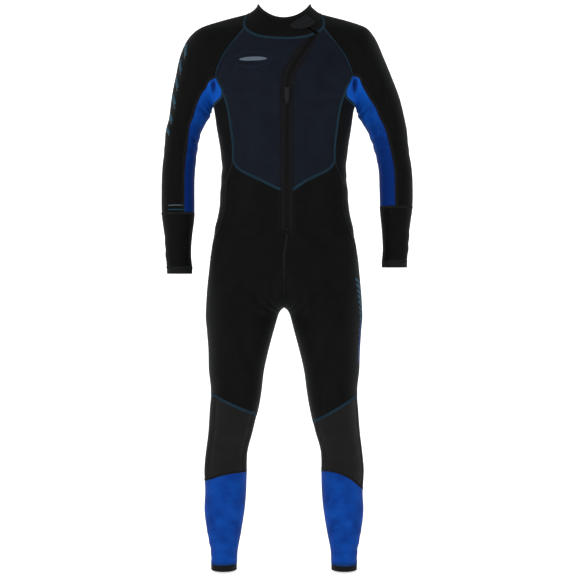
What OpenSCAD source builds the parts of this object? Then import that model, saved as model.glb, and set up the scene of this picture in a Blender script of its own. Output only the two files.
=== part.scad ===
// Full-length front-zip wetsuit, filled out as it is when worn.
// Millimetres. +Z is up, the chest faces -Y and the wearer's left is +X.
// Heights in the tables are measured up from the ankle hems. place() then moves the whole suit
// so that the origin is the hanging point in the middle of the neck opening.

/* [Neoprene] */
// Thickness of the body panels
wall = 4.5; // [3:0.5:5]
// Gap between two panels at a seam
seam_gap = 0.9; // [0.6:0.1:1.5]
// Thickness of the collar
collar_wall = 3.6; // [3:0.2:4.5]

/* [Torso] */
// Height of the waist and hip panels' seam, where the legs fork
fork_h = 790; // [780:5:800]
// Height of the crotch
crotch_h = 668; // [660:1:676]
// Height of the armpit
armpit_h = 1174; // [1168:1:1178]
// Squareness of the torso's sections, where 1 is an ellipse
torso_square = 0.87; // [0.8:0.01:1]

/* [Arms] */
// Extra distance of the left sleeve from the body
left_arm_swing = 15; // [0:1:20]
// Extra length of the right forearm
right_arm_drop = 16; // [0:1:20]
// Height of the elbow's axis
elbow_h = 1082; // [1075:1:1090]
// Half height of the stretch of sleeve that bends
elbow_half = 62; // [60:1:64]
// Height of the seam round the forearm
forearm_seam_h = 920; // [910:5:930]
// Inner radius of the wrist cuffs
wrist_r = 28; // [26:0.5:29]
// Height of the wrist cuffs
cuff_len = 15; // [12:1:18]

/* [Legs] */
// Height of the knee's axis
knee_h = 335; // [330:1:340]
// Inner radius of the ankle hems
ankle_r = 28.5; // [27:0.5:29]
// Height of the ankle hems
hem_len = 17; // [14:1:18]

/* [Zip] */
// Distance of the zip from the middle, to the wearer's left
zip_x = 7; // [4:1:9]
// Width of the gap that the zip fills
zip_w = 30; // [28:1:32]
// Height of the zip's lower end
zip_low_h = 858; // [850:2:870]
// Height at which the zip leaves the straight
zip_bend_h = 1213; // [1205:1:1215]
// Pitch of the zip's teeth
tooth_pitch = 5; // [4:0.5:6]
// Height of the slider's centre when the zip is closed
slider_h = 1196; // [1190:1:1196]

/* [Hidden] */

black = [0.05, 0.05, 0.05];
navy = [0.07, 0.10, 0.15];
blue = [0.03, 0.27, 0.75];
charcoal = [0.14, 0.13, 0.12];
trim = [0.10, 0.11, 0.12];
silver = [0.62, 0.65, 0.68];

// The hanging point is this far above the ankle hems.
hang_h = 1400;

// Torso and bust: height, half width, depth in front, depth behind.
// The front depth is straight from zip_low_h to zip_bend_h, so that the zip runs straight there.
torso = [
    [640, 196, 96, 118], [690, 198, 101, 126], [740, 194, 105, 128], [790, 188, 107.3, 124],
    [858, 177, 109, 112], [915, 166, 110.4, 101], [966, 162, 111.7, 94], [1017, 158, 113, 92],
    [1068, 163, 114.3, 97], [1119, 171, 115.6, 104], [1170, 178, 116.9, 110],
    [1213, 191, 118, 114], [1250, 200, 115, 115], [1285, 194, 106.5, 114], [1322, 170, 95, 108],
    [1345, 151, 85, 101], [1369, 131, 73, 90], [1402, 102, 58, 68], [1430, 82, 48, 56]
];

// Sleeve stations, the shoulder first: station, outer point x and height, inner point x and height,
// half depth, middle y. Station 1400 is the armhole seam itself.
shoulder = [
    [1325, 200, 1383, 181, 1178, 73, 2],
    [1285, 240, 1355, 182, 1177, 69, 3],
    [1245, 265, 1306, 183.5, 1173, 65, 3],
    [1210, 277, 1250, 185, 1167, 61, 3],
    [1175, 287, 1197, 188.5, 1158, 57, 3]
];
// Arm stations: height, middle x, half width, half depth, middle y.
arm = [
    [1145, 244.5, 50, 54, 3], [1119, 255, 46, 50, 2], [1068, 263, 42, 46, 1], [1017, 269, 42, 45, 0],
    [966, 270, 42, 46, -2], [915, 270, 41, 44, -4], [864, 269, 35, 38, -7], [813, 268, 32, 33.5, -10],
    [783, 265, 32, 32, -12]
];
// Leg stations: height, middle x, half width, depth in front, depth behind.
leg = [
    [650, 107, 92, 91, 104], [609, 111, 85, 88, 97], [558, 116, 76, 82, 88], [507, 121, 70, 76, 80],
    [456, 122, 64, 70, 72], [405, 128, 61, 66, 65], [354, 136, 57, 61, 60], [303, 146, 53, 54, 60],
    [252, 149, 54, 50, 66], [201, 149, 52, 46, 67], [150, 152, 50.5, 41, 58], [99, 152.5, 43.5, 36, 46],
    [48, 153, 34, 33, 35], [17, 153, 32.5, 32.5, 32.5]
];

// --- small functions -------------------------------------------------------------------------

function mix(a, b, t) = a + (b - a) * t;
function clamp01(t) = min(1, max(0, t));
function smooth(t) = let(c = clamp01(t)) c * c * (3 - 2 * c);
function signed_pow(s, e) = sign(s) * pow(abs(s), e);

// Index of the span of rising knots that holds t.
function span_of(knots, t, i = 0) =
    i >= len(knots) - 2 || t < knots[i + 1] ? i : span_of(knots, t, i + 1);
// Smooth curve through values at rising knots: a cubic in each span, with slopes from the
// neighbouring values.
function slope(knots, values, i) =
    let(a = max(0, i - 1), b = min(len(knots) - 1, i + 1))
    (values[b] - values[a]) / (knots[b] - knots[a]);
function through(knots, values, t) =
    let(i = span_of(knots, t), w = knots[i + 1] - knots[i], s = (t - knots[i]) / w,
        a = slope(knots, values, i) * w, b = slope(knots, values, i + 1) * w)
    values[i] * (2 * s * s * s - 3 * s * s + 1) + a * (s * s * s - 2 * s * s + s)
    + values[i + 1] * (3 * s * s - 2 * s * s * s) + b * (s * s * s - s * s);
// Smooth curve through points, with t from 0 to 1 in proportion to the distance along them.
function distances(points, i = 1, so_far = [0]) =
    i == len(points) ? so_far
    : distances(points, i + 1, concat(so_far, so_far[i - 1] + norm(points[i] - points[i - 1])));
function along(points, t) =
    let(knots = distances(points)) through(knots, points, t * knots[len(knots) - 1]);

// --- torso surface ---------------------------------------------------------------------------

torso_knots = [for (s = torso) s[0]];
torso_sizes = [for (s = torso) [s[1], s[2], s[3]]];
function torso_at(h) = through(torso_knots, torso_sizes, h);
// Point of the torso at angle a and height h, depth deep inside it. The angle is 0 at the
// wearer's left, -90 at the front and 90 at the back.
function torso_point(a, h, deep = 0) =
    let(s = torso_at(h), y = sin(a) < 0 ? s[1] : s[2])
    [(s[0] - deep) * signed_pow(cos(a), torso_square), (y - deep) * signed_pow(sin(a), torso_square), h];
// Angle and height of the point of the front or back that is x from the middle.
function side_angle(x, h) = acos(signed_pow(x / torso_at(h)[0], 1 / torso_square));
function front(x, h) = [-side_angle(x, h), h];
function back(x, h) = [side_angle(x, h), h];

// Neck seam.
function neck_h(a) = 1414 - (sin(a) < 0 ? 80 * pow(-sin(a), 1.6) : 36 * pow(sin(a), 2));
function neck(a) = [a, neck_h(a)];
neck_corner = 45;

// Armhole seam on the left, with turn 0 at the neck, 90 in front, 180 at the armpit and 270 behind.
// Up to corner_turn it follows the neck seam, and the side panel's seams meet it at side_turn.
corner_turn = 25;
side_turn = 122;
armhole_turns = [corner_turn, 60, 85, 100, 108, side_turn, 135, 180];
armhole_front = [
    neck(-neck_corner), front(134, 1322), front(161, 1275), front(170, 1248),
    front(165, 1232), front(153, 1206), front(158, 1188), [0, armpit_h]
];
armhole_back = [
    neck(neck_corner), back(130, 1322), back(155, 1275), back(162, 1248),
    back(162, 1232), back(158, 1206), back(161, 1188), [0, armpit_h]
];
function armhole_half(turn, side, points) =
    turn < corner_turn ? neck(side * neck_corner * turn / corner_turn)
    : through(armhole_turns, points, turn);
function armhole(turn) =
    turn > 180 ? armhole_half(360 - turn, 1, armhole_back)
    : turn < 0 ? armhole_half(-turn, 1, armhole_back)
    : armhole_half(turn, -1, armhole_front);

// --- sleeve surface --------------------------------------------------------------------------

// Station 1400 is the armhole, stations down to 1175 fan out round the shoulder and those from
// 1145 down are heights along the arm. A row is [station, outer, inner, half depth, middle y].
// An arm that swings out draws its shoulder in a little.
function outer_share(station) =
    through([783, 1017, 1068, 1119, 1145, 1175, 1210, 1245, 1285, 1325],
            [1, 1, 0.87, 0.75, 0.85, 0.55, -0.1, -0.85, -0.7, 0], station);
function inner_share(station) =
    through([783, 1017, 1068, 1119, 1145, 1175], [1, 0.95, 0.57, 0.1, -0.1, 0], min(station, 1175));
function swung(station, outer, inner, swing) =
    [station, outer + [swing * outer_share(station), 0], inner + [swing * inner_share(station), 0]];
function arm_row(s, swing, drop) =
    let(h = s[0] - drop * clamp01((1068 - s[0]) / 148))
    concat(swung(s[0], [s[1] + s[2], h], [s[1] - s[2], h], swing), [s[3], s[4]]);
function shoulder_row(s, swing) =
    concat(swung(s[0], [s[1], s[2]], [s[3], s[4]], swing), [s[5], s[6]]);
function sleeve_rows(swing, drop) = concat(
    [for (i = [len(arm) - 1:-1:0]) arm_row(arm[i], swing, drop)],
    [for (i = [len(shoulder) - 1:-1:0]) shoulder_row(shoulder[i], swing)],
    [[1400]]
);
function row_point(row, turn, deep) =
    len(row) == 1 ? let(p = armhole(turn)) torso_point(p[0], p[1], deep)
    : let(middle = (row[1] + row[2]) / 2, reach = (row[1] - row[2]) / 2,
          p = middle + reach * (1 - deep / norm(reach)) * cos(turn))
      [p[0], row[4] - (row[3] - deep) * sin(turn), p[1]];
function sleeve_point(rows, turn, station, deep = 0) =
    let(knots = [for (r = rows) r[0]], i = span_of(knots, station),
        first = max(0, i - 1), last = min(len(rows) - 1, i + 2))
    through([for (k = [first:last]) knots[k]],
            [for (k = [first:last]) row_point(rows[k], turn, deep)], station);

// A sleeve is its rows, and half the turn that its black outer side covers at edge_stations.
edge_stations = [783, 1068, 1150, 1210, 1285, 1400];
right_sleeve = [sleeve_rows(0, right_arm_drop), [113, 113, 106, 112, 121, 102]];
left_sleeve = [sleeve_rows(left_arm_swing, 0), [94, 96, 99, 110, 115, 101]];
function edge(sleeve, station) = through(edge_stations, sleeve[1], station);

// --- leg surface -----------------------------------------------------------------------------

// The first row is the fork: the torso's half section outside, and the crotch curve inside.
function fork_point(turn, deep) =
    let(a = turn > 180 ? 360 - turn : turn, sizes = torso_at(fork_h),
        depth = (turn > 180 ? sizes[2] : sizes[1]) - deep, way = turn > 180 ? 1 : -1)
    a <= 90 ? torso_point(way * a, fork_h, deep)
    : [seam_gap / 2, way * depth * cos(a - 90),
       fork_h - (fork_h - crotch_h - deep) * sin(a - 90)];
function leg_row(k, turn, deep) =
    k == len(leg) ? fork_point(turn, deep)
    : let(s = leg[len(leg) - 1 - k], depth = sin(turn) > 0 ? s[3] : s[4])
      [s[1] + (s[2] - deep) * cos(turn), -(depth - deep) * sin(turn), s[0]];
leg_knots = concat([for (i = [len(leg) - 1:-1:0]) leg[i][0]], [fork_h]);
function leg_point(turn, station, deep = 0) =
    let(i = span_of(leg_knots, station), first = max(0, i - 1), last = min(len(leg), i + 2))
    through([for (k = [first:last]) leg_knots[k]],
            [for (k = [first:last]) leg_row(k, turn, deep)], station);
// Seams of a leg: height over the knee and slant of the seam above it, the same of the seam below
// it, and the turn at which the knee pad starts on the outside.
right_seams = [88, 27, -85, 12, 40];
left_seams = [76, 34, -86, 24, 24];
function knee_top(seams, turn) = knee_h + seams[0] + seams[1] * cos(turn);
function knee_bottom(seams, turn) =
    knee_h + seams[2] - seams[3] * (cos(turn) + 0.75 * pow(cos(turn), 2));

// --- shells ----------------------------------------------------------------------------------

// Closed sheet between point(u, v, deep) at depth from and depth to, where u and v run from 0 to 1.
// Seen from outside, u runs right and v up, or u runs left and v down.
module sheet(point, columns, rows, from, to) {
    across = columns + 1;
    count = across * (rows + 1);
    points = [for (deep = [from, to]) for (j = [0:rows]) for (i = [0:columns])
        point(i / columns, j / rows, deep)];
    function at(i, j, layer) = layer * count + j * across + i;
    function quad(a, b, c, d) = [[a, b, c], [a, c, d]];
    skins = [for (j = [0:rows - 1]) for (i = [0:columns - 1]) each concat(
        quad(at(i, j, 0), at(i, j + 1, 0), at(i + 1, j + 1, 0), at(i + 1, j, 0)),
        quad(at(i, j, 1), at(i + 1, j, 1), at(i + 1, j + 1, 1), at(i, j + 1, 1)))];
    ends = [for (i = [0:columns - 1]) each concat(
        quad(at(i, 0, 0), at(i + 1, 0, 0), at(i + 1, 0, 1), at(i, 0, 1)),
        quad(at(i, rows, 0), at(i, rows, 1), at(i + 1, rows, 1), at(i + 1, rows, 0)))];
    edges = [for (j = [0:rows - 1]) each concat(
        quad(at(0, j, 0), at(0, j, 1), at(0, j + 1, 1), at(0, j + 1, 0)),
        quad(at(columns, j, 0), at(columns, j + 1, 0), at(columns, j + 1, 1), at(columns, j, 1)))];
    polyhedron(points, concat(skins, ends, edges));
}

// Panel of the torso between four curves of [angle, height], each running from 0 to 1: left and
// right run up, low and high run from left to right.
module torso_panel(left, right, low, high, columns, rows, from = 0, to = wall) {
    function spot(p) = torso_point(p[0], p[1]);
    gap_u = seam_gap / 2 / norm(spot(left(0.5)) - spot(right(0.5)));
    gap_v = seam_gap / 2 / norm(spot(low(0.5)) - spot(high(0.5)));
    function patch(u, v) =
        mix(left(v), right(v), u) + mix(low(u), high(u), v)
        - mix(mix(low(0), low(1), u), mix(high(0), high(1), u), v);
    sheet(function(u, v, deep)
        let(p = patch(mix(gap_u, 1 - gap_u, u), mix(gap_v, 1 - gap_v, v)))
        torso_point(p[0], p[1], deep), columns, rows, from, to);
}

// Panel of a sleeve from one turn to another and from one station down to another. The turns are
// functions of the station.
module sleeve_panel(sleeve, turn_a, turn_b, top, bottom, columns, rows) {
    sheet(function(u, v, deep)
        let(station = mix(top - seam_gap / 2, bottom + seam_gap / 2, v),
            margin = seam_gap / 2 / sleeve[0][0][3] * 180 / PI,
            turn = mix(turn_a(station) + margin, turn_b(station) - margin, u))
        sleeve_point(sleeve[0], turn, station, deep), columns, rows, 0, wall);
}
module outer_panel(sleeve, top, bottom, columns, rows) {
    sleeve_panel(sleeve, function(s) -edge(sleeve, s), function(s) edge(sleeve, s), top, bottom,
                 columns, rows);
}
module inner_panel(sleeve, top, bottom, columns, rows) {
    sleeve_panel(sleeve, function(s) edge(sleeve, s), function(s) 360 - edge(sleeve, s), top, bottom,
                 columns, rows);
}

// Panel of the left leg between two turns. Its top and bottom stations are functions of the turn.
module leg_panel(turn_a, turn_b, top, bottom, columns, rows) {
    margin = seam_gap / 2 / leg[6][2] * 180 / PI;
    sheet(function(u, v, deep)
        let(turn = mix(turn_a + margin, turn_b - margin, u),
            station = mix(top(turn) - seam_gap / 2, bottom(turn) + seam_gap / 2, v))
        leg_point(turn, station, deep), columns, rows, 0, wall);
}

module place() {
    translate([0, 0, -hang_h])
        children();
}
module mirrored() {
    mirror([1, 0, 0])
        children();
}

// --- seams of the torso ----------------------------------------------------------------------

// Side seams from the fork up to the armhole, and the chest panels' V, all on the left.
side_front_points = [
    front(187, fork_h), front(163, 866), front(151, 905), front(147, 950), front(143, 990),
    front(127, 1032), front(132, 1115), armhole(side_turn)
];
side_back_points = [
    back(187, fork_h), back(160, 866), back(142, 905), back(128, 960), back(118, 1010),
    back(132, 1115), armhole(360 - side_turn)
];
function side_front(t) = along(side_front_points, t);
function side_back(t) = along(side_back_points, t);
function height_along(points, i) = distances(points)[i] / distances(points)[len(points) - 1];
chest_split = height_along(side_front_points, 5);
waist_split = height_along(side_back_points, 4);
function mirror_angle(p) = [p[0] > 0 ? 180 - p[0] : -180 - p[0], p[1]];

zip_half = zip_w / 2;
chest_low_h = 958;
// Half of the chest's V, from the side seam to the zip's edge.
function chest_vee(edge_x) = [
    side_front(chest_split), front(113, 1012), front(60, 983), front(edge_x, chest_low_h)];

// Middle of the zip, as [x, height], with t from 0 at its lower end to 1 at the neck seam.
zip_top_angle = -60;
zip_top = let(p = torso_point(zip_top_angle, neck_h(zip_top_angle))) [p[0], p[2]];
zip_points = [
    [zip_x, zip_low_h], [zip_x, 976], [zip_x, 1094], [zip_x, zip_bend_h - 12], [zip_x, zip_bend_h],
    [zip_x + 9, 1248], [zip_x + 30, 1286], zip_top
];
function zip_line(t) = along(zip_points, t);
function zip_normal(t) =
    let(s = min(max(t, 0.01), 0.99), d = zip_line(s + 0.01) - zip_line(s - 0.01))
    [d[1], -d[0]] / norm(d);
// The slot that shows the tapes narrows to the teeth at its top.
slot_end = 4;
function slot_share(t) = 1 - 0.94 * smooth((t - 0.86) / 0.14);
function slot_off(t, off) =
    let(a = abs(off), in_slot = max(0, min(a, zip_half) - slot_end))
    sign(off) * (min(a, slot_end) + in_slot * slot_share(t) + max(0, a - zip_half));
// Point beside the zip's middle, as [angle, height]. off is its distance where the slot is widest.
function beside_zip(t, off) =
    let(p = zip_line(t) + zip_normal(t) * slot_off(t, off)) front(p[0], p[1]);
function zip_t(h) = (h - zip_low_h) / distances(zip_points)[len(zip_points) - 1];
// Place along the zip at which a strip, off from its middle, meets the neck seam.
function zip_end(off, low = 0.9, high = 1.04, steps = 12) =
    let(t = (low + high) / 2, p = beside_zip(t, off))
    steps == 0 ? t
    : p[1] > neck_h(p[0]) ? zip_end(off, low, t, steps - 1) : zip_end(off, t, high, steps - 1);

// --- torso panels ----------------------------------------------------------------------------

// Outer edge of a chest panel from the V's tip up to the neck: V, side seam, then armhole.
tip = 0.05;
vee_end = 0.25;
side_end = 0.5;
function chest_edge(edge_x, v) =
    v < vee_end ? along(chest_vee(edge_x), mix(1 - tip, 0, v / vee_end))
    : v < side_end ? side_front(mix(chest_split, 1, (v - vee_end) / (side_end - vee_end)))
    : armhole(mix(side_turn, corner_turn, (v - side_end) / (1 - side_end)));
zip_low_t = zip_t(chest_low_h);
left_end = zip_end(zip_half);
right_end = zip_end(-zip_half);

module chest_right() {
    left = function(v) mirror_angle(chest_edge(zip_half - zip_x, v));
    right = function(v) beside_zip(mix(zip_low_t, right_end, v), -zip_half);
    low = function(u) mix(left(0), right(0), u);
    high = function(u) neck(mix(neck_corner - 180, right(1)[0], u));
    color(navy) place()
        torso_panel(left, right, low, high, 12, 27);
}

module chest_left() {
    left = function(v) beside_zip(mix(zip_low_t, left_end, v), zip_half);
    right = function(v) chest_edge(zip_half + zip_x, v);
    low = function(u) mix(left(0), right(0), u);
    high = function(u) neck(mix(left(1)[0], -neck_corner, u));
    color(navy) place()
        torso_panel(left, right, low, high, 8, 24);
}

// Inner edge of an abdomen panel: the centre seam, then the zip's edge, with way -1 on the right.
function abdomen_edge(way, v) =
    let(step = 0.36, x = zip_x + way * zip_half * smooth((v - step) / 0.06))
    front(x, mix(fork_h, chest_low_h, v));

module abdomen_right() {
    left = function(v) mirror_angle(side_front(mix(0, chest_split, v)));
    right = function(v) abdomen_edge(-1, v);
    low = function(u) [mix(left(0)[0], right(0)[0], u), fork_h];
    vee = chest_vee(zip_half - zip_x);
    high = function(u) mirror_angle(along(vee, u));
    color(black) place()
        torso_panel(left, right, low, high, 8, 18);
}

module abdomen_left() {
    left = function(v) abdomen_edge(1, v);
    right = function(v) side_front(mix(0, chest_split, v));
    low = function(u) [mix(left(0)[0], right(0)[0], u), fork_h];
    vee = chest_vee(zip_half + zip_x);
    high = function(u) along(vee, 1 - u);
    color(black) place()
        torso_panel(left, right, low, high, 8, 18);
}

module side_panel() {
    torso_panel(
        function(v) side_front(v), function(v) side_back(v),
        function(u) [mix(side_front(0)[0], side_back(0)[0], u), fork_h],
        function(u) armhole(mix(side_turn, 360 - side_turn, smooth(u))), 10, 22);
}
module side_left() {
    color(black) place()
        side_panel();
}
module side_right() {
    color(black) place() mirrored()
        side_panel();
}

// Seam across the back at the waist.
function back_seam(u) =
    let(a = side_back(waist_split)) [mix(a[0], 180 - a[0], u), a[1] - 25 * sin(180 * u)];

module back_upper() {
    left = function(v) v < 0.4 ? side_back(mix(waist_split, 1, v / 0.4))
        : armhole(mix(360 - side_turn, 360 - corner_turn, (v - 0.4) / 0.6));
    right = function(v) mirror_angle(left(v));
    high = function(u) neck(mix(neck_corner, 180 - neck_corner, u));
    color(black) place()
        torso_panel(left, right, function(u) back_seam(u), high, 14, 20);
}

module back_lower() {
    left = function(v) side_back(mix(0, waist_split, v));
    right = function(v) mirror_angle(left(v));
    low = function(u) [mix(left(0)[0], right(0)[0], u), fork_h];
    color(black) place()
        torso_panel(left, right, low, function(u) back_seam(u), 14, 8);
}

// --- collar ----------------------------------------------------------------------------------

collar_half = 68;
collar_front = 62;
collar_back = 60;
function collar_top_h(a) = 1438 - (sin(a) < 0 ? 46 : 24) * pow(abs(sin(a)), 1.5);
// Point of the collar at angle a, with v from 0 at the neck seam to 1 at its upper edge.
function collar_point(a, v, deep) =
    let(low = torso_point(a, neck_h(a), deep),
        high = [(collar_half - deep) * cos(a),
                ((sin(a) < 0 ? collar_front : collar_back) - deep) * sin(a), collar_top_h(a)],
        lean = 1 - pow(1 - v, 1.6))
    [mix(low[0], high[0], lean), mix(low[1], high[1], lean), mix(low[2], high[2], v)];

module collar() {
    split = 1.2;
    low_v = 2 * seam_gap / (collar_top_h(0) - neck_h(0));
    color(black) place()
        sheet(function(u, v, deep)
            collar_point(mix(zip_top_angle + split, zip_top_angle + 360 - split, u),
                         mix(low_v, 1, v), deep), 40, 4, 0, collar_wall);
}

// Tab that laps the collar's two ends. It is sewn down at tab_sewn and peels from tab_free.
tab_sewn = -42;
tab_free = -80;
tab_clear = 0.5;
tab_thick = 2.6;
module collar_tab() {
    color(trim) place()
        sheet(function(u, v, deep)
            let(a = mix(tab_free, tab_sewn, u), round_end = 0.16 * pow(1 - u, 4))
            collar_point(a, mix(0.3 + round_end, 0.8 - round_end, v), deep),
            8, 3, -tab_clear - tab_thick, -tab_clear);
}

// --- zip -------------------------------------------------------------------------------------

teeth_half = 3.3;
teeth_out = 0.6;
teeth_in = 2.2;
tape_from = 1.4;
tape_to = 2.6;

// Strip beside the zip's middle, between two offsets and two depths. It runs from t0 up to short of
// the neck seam, which it follows. A t0 below 0 is measured down from that seam too.
module zip_strip(a, b, t0, short, columns, rows, from, to) {
    end_a = zip_end(a);
    end_b = zip_end(b);
    sheet(function(u, v, deep)
        let(end = mix(end_a, end_b, u), t = mix(t0 < 0 ? end + t0 : t0, end - short, v),
            p = beside_zip(t, mix(a, b, u)))
        torso_point(p[0], p[1], deep), columns, rows, from, to);
}

module zip_tape(way) {
    inner = teeth_half + 0.4;
    outer = zip_half - seam_gap;
    zip_strip(way < 0 ? -outer : inner, way < 0 ? -inner : outer, 0.011, 0.006, 1, 46,
              tape_from, tape_to);
}
module zip_tape_right() {
    color(black) place()
        zip_tape(-1);
}
module zip_tape_left() {
    color(black) place()
        zip_tape(1);
}

zip_rise = zip_bend_h - zip_low_h;
zip_low_y = torso_at(zip_low_h)[1];
zip_bend_y = torso_at(zip_bend_h)[1];
zip_tilt = atan((zip_bend_y - zip_low_y) / zip_rise);
// Puts its children on the straight stretch at height h, with their Z along the zip and their
// Y = 0 on the panels' outer face.
module on_zip(h) {
    translate([zip_x, -mix(zip_low_y, zip_bend_y, (h - zip_low_h) / zip_rise), h])
        rotate([zip_tilt, 0, 0])
            children();
}

// Row of teeth: a comb on the straight stretch, then a plain bead round the bend.
module zip_teeth(way) {
    spine = 1.1;
    low = 6;
    count = floor((zip_rise - low - 3) / tooth_pitch);
    tooth = tooth_pitch / 2 - 0.35;
    start = way < 0 ? 0 : tooth_pitch / 2;
    profile = concat(
        [[teeth_half, low], [teeth_half, low + count * tooth_pitch],
         [teeth_half - spine, low + count * tooth_pitch]],
        [for (i = [count - 1:-1:0]) let(z = low + start + i * tooth_pitch)
            each [[teeth_half - spine, z + tooth], [-teeth_half + spine + 0.3, z + tooth],
                  [-teeth_half + spine + 0.3, z], [teeth_half - spine, z]]],
        [[teeth_half - spine, low]]);
    on_zip(zip_low_h)
        scale([way, 1, 1])
            translate([0, teeth_in, 0])
                rotate([90, 0, 0])
                    linear_extrude(teeth_in + teeth_out)
                        polygon(profile);
    zip_strip(way < 0 ? -teeth_half : 0.2, way < 0 ? -0.2 : teeth_half,
              zip_t(zip_bend_h + 1), 0.016, 1, 14, -teeth_out, teeth_in);
}
module zip_teeth_right() {
    color(trim) place()
        zip_teeth(-1);
}
module zip_teeth_left() {
    color(trim) place()
        zip_teeth(1);
}

// Slider: a channel over the chain, with two lugs that carry the pull's pin.
slider_len = 24;
slider_half = 6.4;
plate_from = teeth_out + 0.7;
plate_thick = 1.6;
pin_out = plate_from + plate_thick + 2.8;
pin_z = 6;
pin_r = 1.1;
module zip_slider() {
    flange = 1.3;
    flange_in = 0.9;
    lug_in = 3.1;
    lug = 1.5;
    color(trim) place() on_zip(slider_h) {
        difference() {
            translate([-slider_half, -plate_from - plate_thick, -slider_len / 2])
                cube([slider_half * 2, plate_from + plate_thick + flange_in, slider_len]);
            translate([-slider_half + flange, -plate_from, -slider_len])
                cube([(slider_half - flange) * 2, plate_from + 5, slider_len * 2]);
        }
        for (side = [-1, 1])
            translate([side * (lug_in + lug / 2) - lug / 2, -pin_out - 2, pin_z - 2.4])
                cube([lug, pin_out - plate_from - plate_thick + 2.4, 4.8]);
        translate([-lug_in - lug / 2, -pin_out, pin_z])
            rotate([0, 90, 0])
                cylinder(r = pin_r, h = 2 * lug_in + lug, $fn = 32);
    }
}

// Pull tab, hanging from the slider's pin.
pull_len = 34;
module zip_pull() {
    eye_r = 2.5;
    thick = 1.8;
    color(trim) place() on_zip(slider_h)
        translate([0, -pin_out, pin_z])
            difference() {
                union() {
                    translate([-2.7, 0, 0])
                        rotate([0, 90, 0])
                            cylinder(r = eye_r, h = 5.4, $fn = 32);
                    translate([-2.7, -thick / 2, -10])
                        cube([5.4, thick, 9]);
                    translate([-4.5, -thick / 2, -pull_len + 4.5])
                        cube([9, thick, pull_len - 12]);
                    translate([0, thick / 2, -pull_len + 4.5])
                        rotate([90, 0, 0])
                            cylinder(r = 4.5, h = thick, $fn = 40);
                }
                translate([-5, 0, 0])
                    rotate([0, 90, 0])
                        cylinder(r = pin_r + 0.08, h = 10, $fn = 32);
                translate([0, 5, -pull_len + 6])
                    rotate([90, 0, 0])
                        cylinder(r = 1.8, h = 10, $fn = 32);
            }
}

// Stops at the chain's two ends.
module zip_bottom_stop() {
    color(trim) place() on_zip(zip_low_h)
        translate([-4.2, -teeth_out - 0.2, -1])
            cube([8.4, 2, 6]);
}
module zip_top_stop() {
    color(trim) place()
        zip_strip(-teeth_half, teeth_half, -0.014, 0.006, 1, 1, -teeth_out - 0.2, teeth_in);
}

// Smooth flap behind the zip, which keeps the teeth off the skin.
module zip_flap() {
    color(black) place()
        zip_strip(-zip_half - 8, zip_half + 8, 0.006, 0.03, 4, 24, wall + 0.8, wall + 2.6);
}

// Plain oval transfer on the right breast.
module chest_badge() {
    badge_x = -76;
    badge_h = 1280;
    half_w = 34;
    half_h = 5;
    color(silver) place()
        sheet(function(u, v, deep)
            let(x = mix(-1, 1, u), y = mix(-1, 1, v) * sqrt(max(0.04, 1 - x * x)),
                p = front(badge_x + half_w * x, badge_h + half_h * y))
            torso_point(p[0], p[1], deep), 12, 2, -1, -0.35);
}

// --- arms ------------------------------------------------------------------------------------

elbow_top = elbow_h + elbow_half;
elbow_bottom = elbow_h - elbow_half;
cuff_station = 783;

module sleeve_upper(sleeve) {
    outer_panel(sleeve, 1400, elbow_top, 20, 11);
}
module underarm_upper(sleeve) {
    inner_panel(sleeve, 1400, elbow_top, 14, 9);
}
module elbow(sleeve) {
    color(black)
        outer_panel(sleeve, elbow_top, elbow_bottom, 10, 3);
    color(blue)
        inner_panel(sleeve, elbow_top, elbow_bottom, 7, 3);
}
module sleeve_lower(sleeve) {
    outer_panel(sleeve, elbow_bottom, forearm_seam_h, 10, 2);
}
module underarm_lower(sleeve) {
    inner_panel(sleeve, elbow_bottom, forearm_seam_h, 7, 2);
}
module forearm(sleeve) {
    sleeve_panel(sleeve, function(s) 180, function(s) 540, forearm_seam_h, cuff_station, 18, 4);
}
// Round elastic edge at the end of a sleeve or leg.
module band(inner_r, high) {
    rotate_extrude($fn = 64)
        translate([inner_r, 0])
            square([4, high]);
}
module cuff(sleeve) {
    end = sleeve[0][0];
    middle = (end[1] + end[2]) / 2;
    translate([middle[0], end[4], middle[1] - cuff_len])
        band(wrist_r, cuff_len);
}

module sleeve_upper_right() {
    color(black) place() mirrored()
        sleeve_upper(right_sleeve);
}
module sleeve_upper_left() {
    color(black) place()
        sleeve_upper(left_sleeve);
}
module underarm_upper_right() {
    color(blue) place() mirrored()
        underarm_upper(right_sleeve);
}
module underarm_upper_left() {
    color(blue) place()
        underarm_upper(left_sleeve);
}
module elbow_right() {
    place() mirrored()
        elbow(right_sleeve);
}
module elbow_left() {
    place()
        elbow(left_sleeve);
}
module sleeve_lower_right() {
    color(black) place() mirrored()
        sleeve_lower(right_sleeve);
}
module sleeve_lower_left() {
    color(black) place()
        sleeve_lower(left_sleeve);
}
module underarm_lower_right() {
    color(blue) place() mirrored()
        underarm_lower(right_sleeve);
}
module underarm_lower_left() {
    color(blue) place()
        underarm_lower(left_sleeve);
}
module forearm_right() {
    color(black) place() mirrored()
        forearm(right_sleeve);
}
module forearm_left() {
    color(black) place()
        forearm(left_sleeve);
}
module cuff_right() {
    color(trim) place() mirrored()
        cuff(right_sleeve);
}
module cuff_left() {
    color(trim) place()
        cuff(left_sleeve);
}

// --- legs ------------------------------------------------------------------------------------

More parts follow.
